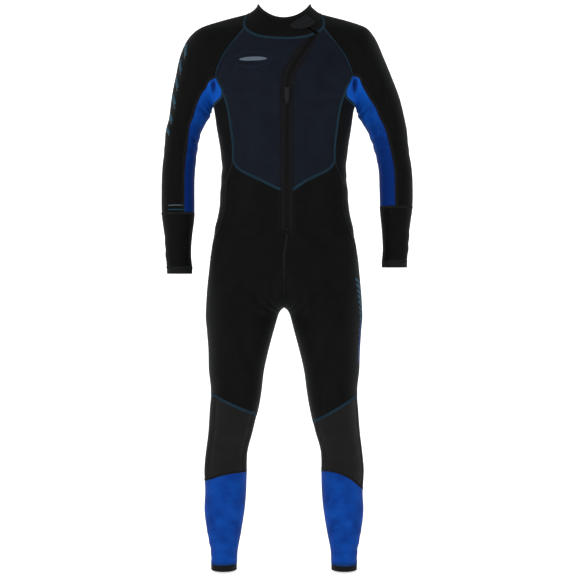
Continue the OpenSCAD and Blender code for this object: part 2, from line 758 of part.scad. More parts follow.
pad_b = 148;
module thigh_front(seams) {
    leg_panel(4, 180, function(a) fork_h, function(a) knee_top(seams, a), 12, 10);
}
module thigh_back(seams) {
    leg_panel(180, 364, function(a) fork_h, function(a) knee_top(seams, a), 12, 10);
}
module knee_pad(seams) {
    leg_panel(seams[4], pad_b, function(a) knee_top(seams, a), function(a) knee_bottom(seams, a), 8, 5);
}
module knee_back(seams) {
    leg_panel(pad_b, 360 + seams[4], function(a) knee_top(seams, a),
              function(a) knee_bottom(seams, a), 12, 4);
}
module lower_leg(seams) {
    leg_panel(180, 540, function(a) knee_bottom(seams, a), function(a) hem_len, 20, 6);
}
module ankle_hem() {
    end = leg[len(leg) - 1];
    translate([end[1], 0, 0])
        band(ankle_r, hem_len);
}

module thigh_front_right() {
    color(black) place() mirrored()
        thigh_front(right_seams);
}
module thigh_front_left() {
    color(black) place()
        thigh_front(left_seams);
}
module thigh_back_right() {
    color(black) place() mirrored()
        thigh_back(right_seams);
}
module thigh_back_left() {
    color(black) place()
        thigh_back(left_seams);
}
module knee_pad_right() {
    color(charcoal) place() mirrored()
        knee_pad(right_seams);
}
module knee_pad_left() {
    color(charcoal) place()
        knee_pad(left_seams);
}
module knee_back_right() {
    color(black) place() mirrored()
        knee_back(right_seams);
}
module knee_back_left() {
    color(black) place()
        knee_back(left_seams);
}
module lower_leg_right() {
    color(blue) place() mirrored()
        lower_leg(right_seams);
}
module lower_leg_left() {
    color(blue) place()
        lower_leg(left_seams);
}
module ankle_hem_right() {
    color(trim) place() mirrored()
        ankle_hem();
}
module ankle_hem_left() {
    color(trim) place()
        ankle_hem();
}

chest_right();
chest_left();
abdomen_right();
abdomen_left();
side_right();
side_left();
back_upper();
back_lower();
collar();
collar_tab();
zip_tape_right();
zip_tape_left();
zip_teeth_right();
zip_teeth_left();
zip_slider();
zip_pull();
zip_top_stop();
zip_bottom_stop();
zip_flap();
chest_badge();
sleeve_upper_right();
sleeve_upper_left();
underarm_upper_right();
underarm_upper_left();
elbow_right();
elbow_left();
sleeve_lower_right();
sleeve_lower_left();
underarm_lower_right();
underarm_lower_left();
forearm_right();
forearm_left();
cuff_right();
cuff_left();
thigh_front_right();
thigh_front_left();
thigh_back_right();
thigh_back_left();
knee_pad_right();
knee_pad_left();
knee_back_right();
knee_back_left();
lower_leg_right();
lower_leg_left();
ankle_hem_right();
ankle_hem_left();
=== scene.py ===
"""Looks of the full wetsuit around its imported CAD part: panels, flatlock seams, zip, trims and prints."""
import math
from functools import partial

import bpy
import numpy as np
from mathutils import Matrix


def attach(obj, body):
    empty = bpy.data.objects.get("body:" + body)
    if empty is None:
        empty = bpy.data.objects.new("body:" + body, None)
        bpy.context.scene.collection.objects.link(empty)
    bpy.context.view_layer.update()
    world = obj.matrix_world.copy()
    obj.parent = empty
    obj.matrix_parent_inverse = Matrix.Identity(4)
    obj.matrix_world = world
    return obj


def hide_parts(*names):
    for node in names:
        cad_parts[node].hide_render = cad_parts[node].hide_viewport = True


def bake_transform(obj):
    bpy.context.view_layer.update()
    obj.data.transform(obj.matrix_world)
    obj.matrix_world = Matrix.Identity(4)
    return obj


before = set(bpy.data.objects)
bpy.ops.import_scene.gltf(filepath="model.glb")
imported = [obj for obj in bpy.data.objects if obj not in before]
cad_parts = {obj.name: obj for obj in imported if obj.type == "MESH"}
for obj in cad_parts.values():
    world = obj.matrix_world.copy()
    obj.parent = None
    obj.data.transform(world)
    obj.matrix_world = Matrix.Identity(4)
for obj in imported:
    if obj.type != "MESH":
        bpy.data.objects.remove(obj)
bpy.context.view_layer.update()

# Lengths are millimetres and heights are above the ankle hems, as in the part's source, until
# mesh_object() moves a piece into the row frame.
HANG_H = 1400.0
WALL = 4.5
COLLAR_WALL = 3.6
GAP = 0.3
SQUARE = 0.87
FORK_H = 790.0
CROTCH_H = 668.0
ARMPIT_H = 1174.0
ELBOW_H = 1082.0
FOREARM_SEAM_H = 920.0
KNEE_H = 335.0
HEM_LEN = 17.0
HEM_R = 28.5
CUFF_LEN = 15.0
CUFF_R = 28.0
LEFT_ARM_SWING = 15.0
RIGHT_ARM_DROP = 16.0
# Stations of the sleeves at the wrist and at the armhole
WRIST = 783.0
HOLE = 1400.0
# Turns round each leg of its outer seam, its inseam and the inner edge of its knee pad
OUTER_LEG = 4.0
INSEAM = 180.0
PAD_END = 148.0
# Distance from a seam over which painted shade darkens the cloth
SEAM_SHADE = 6.3
WAYS = (("right", -1), ("left", 1))

# Torso: height, half width, depth in front, depth behind.
TORSO = np.array([
    [640, 196, 96, 118], [690, 198, 101, 126], [740, 194, 105, 128], [790, 188, 107.3, 124],
    [858, 177, 109, 112], [915, 166, 110.4, 101], [966, 162, 111.7, 94], [1017, 158, 113, 92],
    [1068, 163, 114.3, 97], [1119, 171, 115.6, 104], [1170, 178, 116.9, 110],
    [1213, 191, 118, 114], [1250, 200, 115, 115], [1285, 194, 106.5, 114], [1322, 170, 95, 108],
    [1345, 151, 85, 101], [1369, 131, 73, 90], [1402, 102, 58, 68], [1430, 82, 48, 56]], float)
# Shoulder: station, outer point x and height, inner point x and height, half depth, middle y.
SHOULDER = [
    [1325, 200, 1383, 181, 1178, 73, 2], [1285, 240, 1355, 182, 1177, 69, 3],
    [1245, 265, 1306, 183.5, 1173, 65, 3], [1210, 277, 1250, 185, 1167, 61, 3],
    [1175, 287, 1197, 188.5, 1158, 57, 3]]
# Arm: height, middle x, half width, half depth, middle y.
ARM = [
    [1145, 244.5, 50, 54, 3], [1119, 255, 46, 50, 2], [1068, 263, 42, 46, 1],
    [1017, 269, 42, 45, 0], [966, 270, 42, 46, -2], [915, 270, 41, 44, -4],
    [864, 269, 35, 38, -7], [813, 268, 32, 33.5, -10], [783, 265, 32, 32, -12]]
# Leg: height, middle x, half width, depth in front, depth behind.
LEG = [
    [650, 107, 92, 91, 104], [609, 111, 85, 88, 97], [558, 116, 76, 82, 88],
    [507, 121, 70, 76, 80], [456, 122, 64, 70, 72], [405, 128, 61, 66, 65],
    [354, 136, 57, 61, 60], [303, 146, 53, 54, 60], [252, 149, 54, 50, 66],
    [201, 149, 52, 46, 67], [150, 152, 50.5, 41, 58], [99, 152.5, 43.5, 36, 46],
    [48, 153, 34, 33, 35], [17, 153, 32.5, 32.5, 32.5]]


# --- curves and surfaces, for arrays of coordinates ---

def mix(a, b, t):
    return a + (b - a) * t


def smooth(t):
    c = np.clip(t, 0, 1)
    return c * c * (3 - 2 * c)


def bump(x, middle, width):
    """Bell of height 1 round the middle."""
    return np.exp(-((x - middle) / width) ** 2)


def signed_pow(s, e):
    return np.sign(s) * np.abs(s) ** e


def sin_deg(a):
    return np.sin(np.radians(a))


def cos_deg(a):
    return np.cos(np.radians(a))


def curve(knots, values, t):
    """Smooth curve at each t through values at rising knots. values is one row for each knot, or
    one row for each knot and each t."""
    knots = np.asarray(knots, float)
    values = np.asarray(values, float)
    last = len(knots) - 1
    i = np.clip(np.searchsorted(knots, t, side="right") - 1, 0, last - 1)
    samples = np.arange(len(t))

    def pick(k):
        return values[k, samples] if values.ndim == 3 else values[k]

    def slope(k):
        a = np.maximum(k - 1, 0)
        b = np.minimum(k + 1, last)
        return (pick(b) - pick(a)) / (knots[b] - knots[a])[:, None]

    w = (knots[i + 1] - knots[i])[:, None]
    s = (t - knots[i])[:, None] / w
    return (pick(i) * (2 * s ** 3 - 3 * s ** 2 + 1) + slope(i) * w * (s ** 3 - 2 * s ** 2 + s)
            + pick(i + 1) * (3 * s ** 2 - 2 * s ** 3) + slope(i + 1) * w * (s ** 3 - s ** 2))


def curve1(knots, values, t):
    return curve(knots, np.asarray(values, float)[:, None], t)[:, 0]


def distances(points):
    steps = np.linalg.norm(np.diff(points, axis=0), axis=1)
    return np.concatenate([[0.0], np.cumsum(steps)])


def along(points, t):
    points = np.asarray(points, float)
    knots = distances(points)
    return curve(knots, points, t * knots[-1])


def torso_point(a, h, deep=0.0):
    """Torso at angle a, 0 at the wearer's left and -90 in front, and height h."""
    size = curve(TORSO[:, 0], TORSO[:, 1:], h)
    depth = np.where(sin_deg(a) < 0, size[:, 1], size[:, 2])
    return np.stack([(size[:, 0] - deep) * signed_pow(cos_deg(a), SQUARE),
                     (depth - deep) * signed_pow(sin_deg(a), SQUARE), h], axis=1)


def side_angle(x, h):
    half = curve(TORSO[:, 0], TORSO[:, 1:], h)[:, 0]
    return np.degrees(np.arccos(np.clip(signed_pow(x / half, 1 / SQUARE), -1, 1)))


def front(x, h):
    x, h = np.broadcast_arrays(np.atleast_1d(np.asarray(x, float)), np.asarray(h, float))
    return np.stack([-side_angle(x, h), h], axis=1)


def back(x, h):
    return front(x, h) * [-1, 1]


def neck_h(a):
    s = sin_deg(a)
    return 1414 - np.where(s < 0, 80 * np.maximum(-s, 0) ** 1.6, 36 * s * s)


def neck(a):
    a = np.atleast_1d(np.asarray(a, float))
    return np.stack([a, neck_h(a)], axis=1)


NECK_CORNER = 45
CORNER_TURN = 25
SIDE_TURN = 122
ARMHOLE_TURNS = [CORNER_TURN, 60, 85, 100, 108, SIDE_TURN, 135, 180]
ARMHOLE_FRONT = np.concatenate([
    neck(-NECK_CORNER),
    front([134, 161, 170, 165, 153, 158], [1322, 1275, 1248, 1232, 1206, 1188]), [[0, ARMPIT_H]]])
ARMHOLE_BACK = np.concatenate([
    neck(NECK_CORNER),
    back([130, 155, 162, 162, 158, 161], [1322, 1275, 1248, 1232, 1206, 1188]), [[0, ARMPIT_H]]])


def armhole(turn):
    behind = (turn > 180) | (turn < 0)
    short = np.where(turn > 180, 360 - turn, np.abs(turn))
    way = np.where(behind, 1, -1)
    top = neck(way * NECK_CORNER * np.minimum(short / CORNER_TURN, 1))
    below = np.where(behind[:, None], curve(ARMHOLE_TURNS, ARMHOLE_BACK, short),
                     curve(ARMHOLE_TURNS, ARMHOLE_FRONT, short))
    return np.where((short < CORNER_TURN)[:, None], top, below)


def outer_share(station):
    return curve1([783, 1017, 1068, 1119, 1145, 1175, 1210, 1245, 1285, 1325],
                  [1, 1, 0.87, 0.75, 0.85, 0.55, -0.1, -0.85, -0.7, 0], np.array([station]))[0]


def inner_share(station):
    return curve1([783, 1017, 1068, 1119, 1145, 1175], [1, 0.95, 0.57, 0.1, -0.1, 0],
                  np.array([min(station, 1175)]))[0]


def sleeve_rows(swing, drop):
    """Rows of [station, outer point, inner point, half depth, middle y], from the wrist up."""
    rows = []
    for station, x, half, depth, y in reversed(ARM):
        h = station - drop * min(1, max(0, (1068 - station) / 148))
        rows.append([station, np.array([x + half, h]), np.array([x - half, h]), depth, y])
    for station, ox, oh, ix, ih, depth, y in reversed(SHOULDER):
        rows.append([station, np.array([ox, oh]), np.array([ix, ih]), depth, y])
    for row in rows:
        row[1] = row[1] + [swing * outer_share(row[0]), 0]
        row[2] = row[2] + [swing * inner_share(row[0]), 0]
    return rows


RIGHT_ROWS = sleeve_rows(0.0, RIGHT_ARM_DROP)
LEFT_ROWS = sleeve_rows(LEFT_ARM_SWING, 0.0)
# Half the turn that the black outer side of each sleeve covers.
EDGE_STATIONS = [783, 1068, 1150, 1210, 1285, 1400]
EDGES = {"right": [113, 113, 106, 112, 121, 102], "left": [94, 96, 99, 110, 115, 101]}


def ring_point(row, turn, deep):
    middle = (row[1] + row[2]) / 2
    reach = (row[1] - row[2]) / 2
    share = (1 - deep / np.linalg.norm(reach)) * cos_deg(turn)
    return np.stack([middle[0] + reach[0] * share, row[4] - (row[3] - deep) * sin_deg(turn),
                     middle[1] + reach[1] * share], axis=1)


def sleeve_point(rows, turn, station, deep):
    hole = armhole(turn)
    rings = [ring_point(r, turn, deep) for r in rows]
    rings.append(torso_point(hole[:, 0], hole[:, 1], deep))
    return curve([r[0] for r in rows] + [HOLE], np.stack(rings), station)


def sleeve_edge(side, station):
    return curve1(EDGE_STATIONS, EDGES[side], station)


def fork_point(turn, deep):
    a = np.where(turn > 180, 360 - turn, turn)
    size = curve(TORSO[:, 0], TORSO[:, 1:], np.full(len(turn), FORK_H))
    way = np.where(turn > 180, 1, -1)
    depth = np.where(turn > 180, size[:, 2], size[:, 1]) - deep
    outside = torso_point(way * np.minimum(a, 90), np.full(len(turn), FORK_H), deep)
    under = np.stack([np.full(len(turn), GAP / 2), way * depth * cos_deg(a - 90),
                      FORK_H - (FORK_H - CROTCH_H - deep) * sin_deg(a - 90)], axis=1)
    return np.where((a <= 90)[:, None], outside, under)


def leg_point(turn, station, deep=0.0):
    rows = []
    for s in reversed(LEG):
        depth = np.where(sin_deg(turn) > 0, s[3], s[4])
        rows.append(np.stack([s[1] + (s[2] - deep) * cos_deg(turn),
                              -(depth - deep) * sin_deg(turn), np.full(len(turn), s[0])], axis=1))
    rows.append(fork_point(turn, deep))
    return curve([s[0] for s in reversed(LEG)] + [FORK_H], np.stack(rows), station)


# Seams of each leg: height over the knee and slant of the seam above it, the same of the seam
# below it, and the turn at which the knee pad starts on the outside.
LEG_SEAMS = {"right": (88, 27, -85, 12, 40), "left": (76, 34, -86, 24, 24)}


def knee_top(side, turn):
    return KNEE_H + LEG_SEAMS[side][0] + LEG_SEAMS[side][1] * cos_deg(turn)


def knee_bottom(side, turn):
    slant = LEG_SEAMS[side][3] * (cos_deg(turn) + 0.75 * cos_deg(turn) ** 2)
    return KNEE_H + LEG_SEAMS[side][2] - slant


def collar_top_h(a):
    return 1438 - np.where(sin_deg(a) < 0, 46, 24) * np.abs(sin_deg(a)) ** 1.5


def collar_point(a, v, deep=0.0):
    low = torso_point(a, neck_h(a), deep)
    depth = np.where(sin_deg(a) < 0, 62, 60)
    high = np.stack([(68 - deep) * cos_deg(a), (depth - deep) * sin_deg(a), collar_top_h(a)],
                    axis=1)
    lean = (1 - np.maximum(1 - v, 0) ** 1.6)[:, None]
    point = mix(low, high, lean)
    point[:, 2] = mix(low[:, 2], high[:, 2], v)
    return point


def left_sleeve(turn, station, deep=0.0):
    return sleeve_point(LEFT_ROWS, turn, station, deep)


def right_sleeve(turn, station, deep=0.0):
    return sleeve_point(RIGHT_ROWS, turn, station, deep) * [-1, 1, 1]


def right_leg(turn, station, deep=0.0):
    return leg_point(turn, station, deep) * [-1, 1, 1]


SLEEVES = {"right": right_sleeve, "left": left_sleeve}
LEGS = {"right": right_leg, "left": leg_point}


# --- relief: the slack and folds of the neoprene ---

def ripple(p):
    """Slight unevenness everywhere, the same on both sides of a seam."""
    x, y, z = p.T
    return (0.45 * np.sin(x / 27 + 1.4 * np.sin(z / 61)) * np.sin(z / 39 + y / 33)
            + 0.3 * np.sin((x + z) / 24 + y / 37 + 2 * np.sin(x / 83)))


def torso_folds(a, h, p):
    x, y = p[:, 0], p[:, 1]
    waist = 0.9 * np.cos((h + 9 * np.sin(x / 45) + 0.1 * y) / 7.6) * bump(h, 1000, 48)
    waist = waist * (0.35 + 0.65 * cos_deg(a) ** 2)
    small_of_back = 1.5 * np.cos((h - 12 * cos_deg(a) ** 2) / 7.0) * bump(h, 985, 45)
    small_of_back = small_of_back * np.maximum(sin_deg(a), 0) ** 2
    out = np.hypot(np.abs(x) - 172, h - 1190)
    turn = np.degrees(np.arctan2(h - 1190, 172 - np.abs(x)))
    armpit = 1.7 * np.cos((turn - 8) * 0.17) * bump(out, 62, 34) * bump(turn, 5, 75)
    hips = 0.9 * np.cos((h + 0.5 * np.abs(x)) / 8.5) * bump(h, 858, 30)
    return waist + small_of_back + armpit + hips


def sleeve_folds(turn, station, p):
    facing = np.maximum(cos_deg(turn - 118), 0)
    elbow = 2.0 * np.cos((station + 7 * sin_deg(turn * 2)) / 4.6) * bump(station, ELBOW_H, 40)
    elbow = elbow * (0.12 + 0.88 * facing)
    behind = 0.9 * np.cos((station + 30) / 6.5) * bump(station, ELBOW_H, 50)
    behind = behind * np.maximum(cos_deg(turn - 300), 0)
    underarm = 1.5 * np.cos((station + 0.55 * (turn - 180)) / 6.4) * bump(station, 1172, 42)
    underarm = underarm * np.maximum(-cos_deg(turn), 0)
    wrist = 0.7 * np.cos((station - 0.08 * turn) / 5.2) * bump(station, 825, 42)
    crease = -11 * bump(np.abs(p[:, 0]), 178, 5) * bump(p[:, 2], 1228, 17) * smooth(-p[:, 1] / 20)
    return elbow + behind + underarm + wrist + crease


def leg_folds(turn, station, p):
    knee = 2.1 * np.cos((station + 5 * cos_deg(turn * 2)) / 5.0) * bump(station, KNEE_H + 4, 44)
    knee = knee * np.maximum(-sin_deg(turn), 0)
    knee_cap = 0.8 * np.cos(station / 8.0) * bump(station, KNEE_H, 60) * np.maximum(sin_deg(turn), 0)
    crotch = 1.5 * np.cos((station - 0.75 * np.abs(p[:, 0])) / 6.2) * bump(station, 690, 42)
    crotch = crotch * bump(np.abs(p[:, 0]), 55, 48) * (0.5 + 0.5 * np.abs(sin_deg(turn)))
    seat = 1.3 * np.cos((station + 0.2 * np.abs(p[:, 0])) / 6.5) * bump(station, 650, 30)
    seat = seat * np.maximum(-sin_deg(turn), 0)
    ankle = 0.7 * np.cos((station + 0.05 * turn) / 4.6) * bump(station, 62, 34)
    return knee + knee_cap + crotch + seat + ankle


def collar_folds(a, v, p):
    return 0.4 * np.cos(np.radians(a) * 9) * v * (1 - v) * 4


# --- meshes ---

def unit(vectors):
    return vectors / np.maximum(np.linalg.norm(vectors, axis=-1, keepdims=True), 1e-9)


def mesh_object(name, points, groups, material, cloth=None, crease=48):
    """A mesh of faces given as arrays with one row of corners for each face."""
    data = bpy.data.meshes.new(name)
    placed = (np.asarray(points, float) - [0, 0, HANG_H]) / 1000
    loops = np.concatenate([g.ravel() for g in groups]).astype(np.int32)
    counts = np.concatenate([np.full(len(g), g.shape[1]) for g in groups])
    starts = np.concatenate([[0], np.cumsum(counts)[:-1]]).astype(np.int32)
    data.vertices.add(len(placed))
    data.vertices.foreach_set("co", placed.ravel())
    data.loops.add(len(loops))
    data.loops.foreach_set("vertex_index", loops)
    data.polygons.add(len(starts))
    data.polygons.foreach_set("loop_start", starts)
    data.update(calc_edges=True)
    data.validate()
    data.polygons.foreach_set("use_smooth", np.ones(len(data.polygons), bool))
    data.set_sharp_from_angle(angle=math.radians(crease))
    if cloth is not None:
        layer = data.attributes.new("cloth", "FLOAT_VECTOR", "POINT")
        layer.data.foreach_set("vector", np.asarray(cloth, float).ravel())
    data.materials.append(material)
    obj = bpy.data.objects.new(name, data)
    bpy.context.scene.collection.objects.link(obj)
    return obj


def lines(length, step):
    """Grid positions from 0 to 1 along an edge, close together near both ends."""
    ends = np.array([0, 0.8, 1.8, 3.2, 5.5])
    ends = ends[ends < 0.3 * length]
    count = max(2, int(round((length - 2 * ends[-1]) / step)) + 1)
    middle = np.linspace(ends[-1], length - ends[-1], count)
    return np.concatenate([ends[:-1], middle, (length - ends[:-1])[::-1]]) / length


def run(grid, axis):
    """Distance along the grid's lines from their start."""
    steps = np.linalg.norm(np.diff(grid, axis=axis), axis=2)
    zero = np.zeros_like(np.take(steps, [0], axis=axis))
    return np.concatenate([zero, np.cumsum(steps, axis=axis)], axis=axis)


def shell_faces(rows, columns, flip):
    """Faces of a closed sheet: an outer grid, then an inner grid of the same size."""
    at = np.arange(rows * columns).reshape(rows, columns)
    deep = at + rows * columns
    corners = [(at[:-1, :-1], at[:-1, 1:], at[1:, 1:], at[1:, :-1]),
               (deep[:-1, :-1], deep[1:, :-1], deep[1:, 1:], deep[:-1, 1:]),
               (at[0, :-1], deep[0, :-1], deep[0, 1:], at[0, 1:]),
               (at[-1, 1:], deep[-1, 1:], deep[-1, :-1], at[-1, :-1]),
               (at[1:, 0], deep[1:, 0], deep[:-1, 0], at[:-1, 0]),
               (at[:-1, -1], deep[:-1, -1], deep[1:, -1], at[1:, -1])]
    faces = np.concatenate([np.stack([c.ravel() for c in four], axis=1) for four in corners])
    return faces[:, ::-1] if flip else faces


def panel(name, surface, where, material, folds=None, size=None, step=4.0, depths=(0.0, WALL),
          sink=0.9, stretch=1.04, hidden=False):
    """Closed sheet over where(u, v), which gives two coordinates of the surface. sink is how deep
    its edges dip into the seams. hidden leaves out the gap and the dip at v = 0, so that no joint
    shows there. stretch is not used."""
    probe, half = np.linspace(0, 1, 41), np.full(41, 0.5)
    if size is None:
        size = (distances(surface(*where(probe, half), 0.0))[-1],
                distances(surface(*where(half, probe), 0.0))[-1])
    gaps = GAP / 2 / np.array(size)
    us = mix(gaps[0], 1 - gaps[0], lines(size[0], step))
    vs = mix(0 if hidden else gaps[1], 1 - gaps[1], lines(size[1], step))
    u, v = np.meshgrid(us, vs)
    p, q = where(u.ravel(), v.ravel())
    outer, inner = [surface(p, q, deep).reshape(u.shape + (3,)) for deep in depths]
    n = unit(np.cross(np.gradient(outer, axis=1), np.gradient(outer, axis=0)))
    flip = float(np.sum(n * (outer - inner))) < 0
    n = -n if flip else n
    across, up = run(outer, 1), run(outer, 0)
    edge = np.minimum(np.minimum(across, across[:, -1:] - across), up[-1:] - up)
    if not hidden:
        edge = np.minimum(edge, up)
    lift = ripple(outer.reshape(-1, 3)).reshape(u.shape)
    # Painted shade: the colour darkens within SEAM_SHADE of an edge, where the cloth dips into the seam.
    shade_clearance = np.minimum(edge, SEAM_SHADE)
    if folds is not None:
        own = folds(p, q, outer.reshape(-1, 3)).reshape(u.shape) * smooth((edge - 2) / 16)
        lift = lift + own
        # Painted shade: the colour also darkens in the valleys of the folds.
        shade_clearance = shade_clearance * np.clip(1 + own / 3, 0, 1)
    pucker = 0.22 * np.sin((across + up) / 1.9) * bump(edge, 5.5, 3.2)
    dip = -sink * np.exp(-(edge / 1.7) ** 2)
    top = outer + n * (lift + (pucker if sink else 0) + dip)[..., None]
    under = inner + n * lift[..., None]
    # The third value sets how far off the painted shade of the seams and folds holds.
    cloth = np.stack([across, up, shade_clearance], axis=2).reshape(-1, 3)
    obj = mesh_object(name, np.concatenate([top.reshape(-1, 3), under.reshape(-1, 3)]),
                      [shell_faces(*u.shape, flip)], material, np.concatenate([cloth, cloth]))
    return obj


def surface_frame(surface, p, q, rise_step=0.5):
    """Points of a surface and its outward normals at them."""
    at = surface(p, q, 0.0)
    a = surface(p + 0.5, q, 0.0) - surface(p - 0.5, q, 0.0)
    b = surface(p, q + rise_step, 0.0) - surface(p, q - rise_step, 0.0)
    n = unit(np.cross(a, b))
    out = at - surface(p, q, 2.0)
    return at, n * np.where(np.sum(n * out, axis=1) < 0, -1, 1)[:, None]


def resample(points, count):
    """Evenly spaced points along a run of corners, and their distances along it."""
    at = distances(points[:, :3])
    t = np.linspace(0, at[-1], count)
    return np.stack([np.interp(t, at, column) for column in points.T], axis=1), t


def even(line, normals, step):
    """The line and its normals again, at even steps."""
    count = max(2, int(round(distances(line)[-1] / step)) + 1)
    both, t = resample(np.concatenate([line, normals], axis=1), count)
    return both[:, :3], both[:, 3:], t


def frames(line, normals):
    """The line's side and its normal, square to it."""
    t = unit(np.gradient(line, axis=0))
    n = unit(normals - t * np.sum(normals * t, axis=1, keepdims=True))
    return np.cross(n, t), n


def sweep(line, side, normal, profile, shape=None, closed=False):
    """Points and faces of a closed profile of (side, normal) offsets carried along a line. shape
    gives each point of the line its own scale."""
    profile = np.asarray(profile, float)
    count, corners = len(line), len(profile)
    scale = np.ones(count) if shape is None else shape
    points = (line[:, None] + side[:, None] * (profile[None, :, :1] * scale[:, None, None])
              + normal[:, None] * (profile[None, :, 1:] * scale[:, None, None]))
    i = np.arange(count if closed else count - 1)[:, None]
    k = np.arange(corners)[None, :]
    here, there = i * corners, (i + 1) % count * corners
    after = (k + 1) % corners
    groups = [np.stack([here + k, here + after, there + after, there + k], axis=2).reshape(-1, 4)]
    if not closed:
        groups += [k[:, ::-1], k + (count - 1) * corners]
    return points.reshape(-1, 3), groups


class Parts:
    """Gathers swept pieces into one mesh."""

    def __init__(self):
        self.points, self.groups, self.count = [], [], 0

    def add(self, points, groups):
        self.points.append(points)
        self.groups.extend(g + self.count for g in groups)
        self.count += len(points)

    def build(self, name, material, crease=48):
        wide = {}
        for g in self.groups:
            wide.setdefault(g.shape[1], []).append(g)
        groups = [np.concatenate(g) for g in wide.values()]
        return mesh_object(name, np.concatenate(self.points), groups, material, crease=crease)


# Cross-sections, as (side, normal) offsets, anticlockwise as seen along the line.
BAND = [(-3.5, -0.9), (3.5, -0.9), (3.4, -0.12), (2.7, 0.22), (1.2, 0.12), (-1.2, 0.12),
        (-2.7, 0.22), (-3.4, -0.12)]
THREAD = [(-1, 0), (0, -1), (1, 0), (0, 1)]
STITCH_PITCH = 3.2


def stitch_row(parts, line, normals, side_at, lift, radius=0.42):
    """A row of straight stitches beside the line, each a bead of thread."""
    line, normals, t = even(line, normals, STITCH_PITCH / 6)
    side, n = frames(line, normals)
    swell = radius * (0.3 + 0.7 * np.abs(np.sin(np.pi * t / STITCH_PITCH)) ** 0.6)
    parts.add(*sweep(line + side * side_at + n * lift, side, n, THREAD, swell))


def zigzag(parts, line, normals, half, lift):
    """Cover thread that goes from side to side over a seam."""
    line, normals, t = even(line, normals, STITCH_PITCH / 6)
    side, n = frames(line, normals)
    over = np.cos(2 * np.pi * t / STITCH_PITCH)[:, None]
    path = line + side * half * over + n * (lift + 0.12 * (1 - over ** 2))
    parts.add(*sweep(path, *frames(path, n), THREAD, np.full(len(path), 0.34)))


def on_cloth(surface, p, q, lift=0.0, rise_step=0.5):
    """A line over the uneven cloth and its normals."""
    line, n = surface_frame(surface, p, q, rise_step)
    return line + n * (ripple(line) + lift)[:, None], n


class Seams:
    """Flatlock seams of one surface: bands of cover thread over the joints."""

    def __init__(self, surface):
        self.surface = surface
        self.bands, self.threads = Parts(), Parts()

    def cover(self, line, n):
        band_line, band_n, _ = even(line, n, 2.5)
        self.bands.add(*sweep(band_line, *frames(band_line, band_n), BAND))
        zigzag(self.threads, line, n, 2.5, 0.3)
        for side_at in (-2.75, 2.75):
            stitch_row(self.threads, line, n, side_at, 0.3)

    def follow(self, p, q, other=None):
        """Adds a seam along coordinates of the surface. other is the surface and coordinates on
        the seam's far side, where the two meet at an angle."""
        p, q = [np.array(c, float) for c in np.broadcast_arrays(p, q)]
        line, n = surface_frame(self.surface, p, q)
        if other is not None:
            n = unit(n + surface_frame(*other)[1])
        self.cover(line + n * ripple(line)[:, None], n)

    def trace(self, curve_of, a=0.0, b=1.0, count=160):
        """Adds a seam along a curve of angle and height."""
        self.follow(*curve_of(np.linspace(a, b, count)).T)

    def finish(self, name, style, place):
        band, thread_material, slot = style
        for parts, kind, material in ((self.bands, "cover", band),
                                      (self.threads, "thread", thread_material)):
            settle(parts.build(f"{name}_{kind}", material, crease=80), slot, place)


# --- bodies ---

def settle(obj, slot, place, *nodes):
    """Puts a piece in its place on the bodies and hides the CAD nodes that it stands for. slot is not used.
    """
    if nodes:
        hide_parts(*nodes)
    place(obj)


def rides(body):
    return lambda obj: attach(obj, body)


def bends():
    """Meant for a piece that rides on the suit above a joint and on another body below it. It only bakes
    the piece's transform, so the piece rides on no body and does not bend.
    """
    return lambda obj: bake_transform(obj)


SUIT = rides("suit")
ARM_BEND = {"right": bends(),
            "left": bends()}
LEG_BEND = {"right": bends(),
            "left": bends()}


# --- materials ---

def node(tree, kind, values=(), **settings):
    made = tree.nodes.new(kind)
    for key, value in settings.items():
        setattr(made, key, value)
    for key, value in values:
        made.inputs[key].default_value = value
    return made


def math_node(tree, operation, *values, clamp=False):
    """Each value is a number or another node's output."""
    made = node(tree, "ShaderNodeMath", operation=operation, use_clamp=clamp)
    for socket, value in zip(made.inputs, values):
        if isinstance(value, (int, float)):
            socket.default_value = value
        else:
            tree.links.new(value, socket)
    return made.outputs[0]


def sine(tree, value, scale):
    return math_node(tree, "SINE", math_node(tree, "MULTIPLY", value, scale))


def noise(tree, vector, scale, detail=2.0, rough=0.5):
    made = node(tree, "ShaderNodeTexNoise",
                (("Scale", scale), ("Detail", detail), ("Roughness", rough)))
    tree.links.new(vector, made.inputs["Vector"])
    return made.outputs["Fac"]


def base_material(name, rough, sheen, sheen_rough=0.5, specular=0.06, metal=0.0):
    material = bpy.data.materials.new(name)
    material.use_nodes = True
    shader = material.node_tree.nodes["Principled BSDF"]
    for key, value in (("Roughness", rough), ("Specular IOR Level", specular),
                       ("Sheen Weight", sheen), ("Sheen Roughness", sheen_rough),
                       ("Sheen Tint", (0.72, 0.82, 1.0, 1.0)), ("Metallic", metal)):
        shader.inputs[key].default_value = value
    return material, material.node_tree, shader


def pattern_place(tree, cloth):
    """The cloth's own millimetres or the object's metres, whole and as X, Y and Z."""
    if cloth:
        source = node(tree, "ShaderNodeAttribute", attribute_name="cloth").outputs["Vector"]
    else:
        source = node(tree, "ShaderNodeTexCoord").outputs["Object"]
    parts = node(tree, "ShaderNodeSeparateXYZ")
    tree.links.new(source, parts.inputs["Vector"])
    return source, *parts.outputs


def pattern(tree, shader, amount, dark, light, height, strength, distance=0.0002, rough=None):
    """Links a material's colour, relief and, where it varies, roughness."""
    mixed = node(tree, "ShaderNodeMix", (("A", (*dark, 1.0)), ("B", (*light, 1.0))),
                 data_type="RGBA")
    relief = node(tree, "ShaderNodeBump", (("Strength", strength), ("Distance", distance)))
    tree.links.new(amount, mixed.inputs["Factor"])
    tree.links.new(mixed.outputs["Result"], shader.inputs["Base Color"])
    tree.links.new(height, relief.inputs["Height"])
    tree.links.new(relief.outputs["Normal"], shader.inputs["Normal"])
    if rough is not None:
        tree.links.new(rough, shader.inputs["Roughness"])


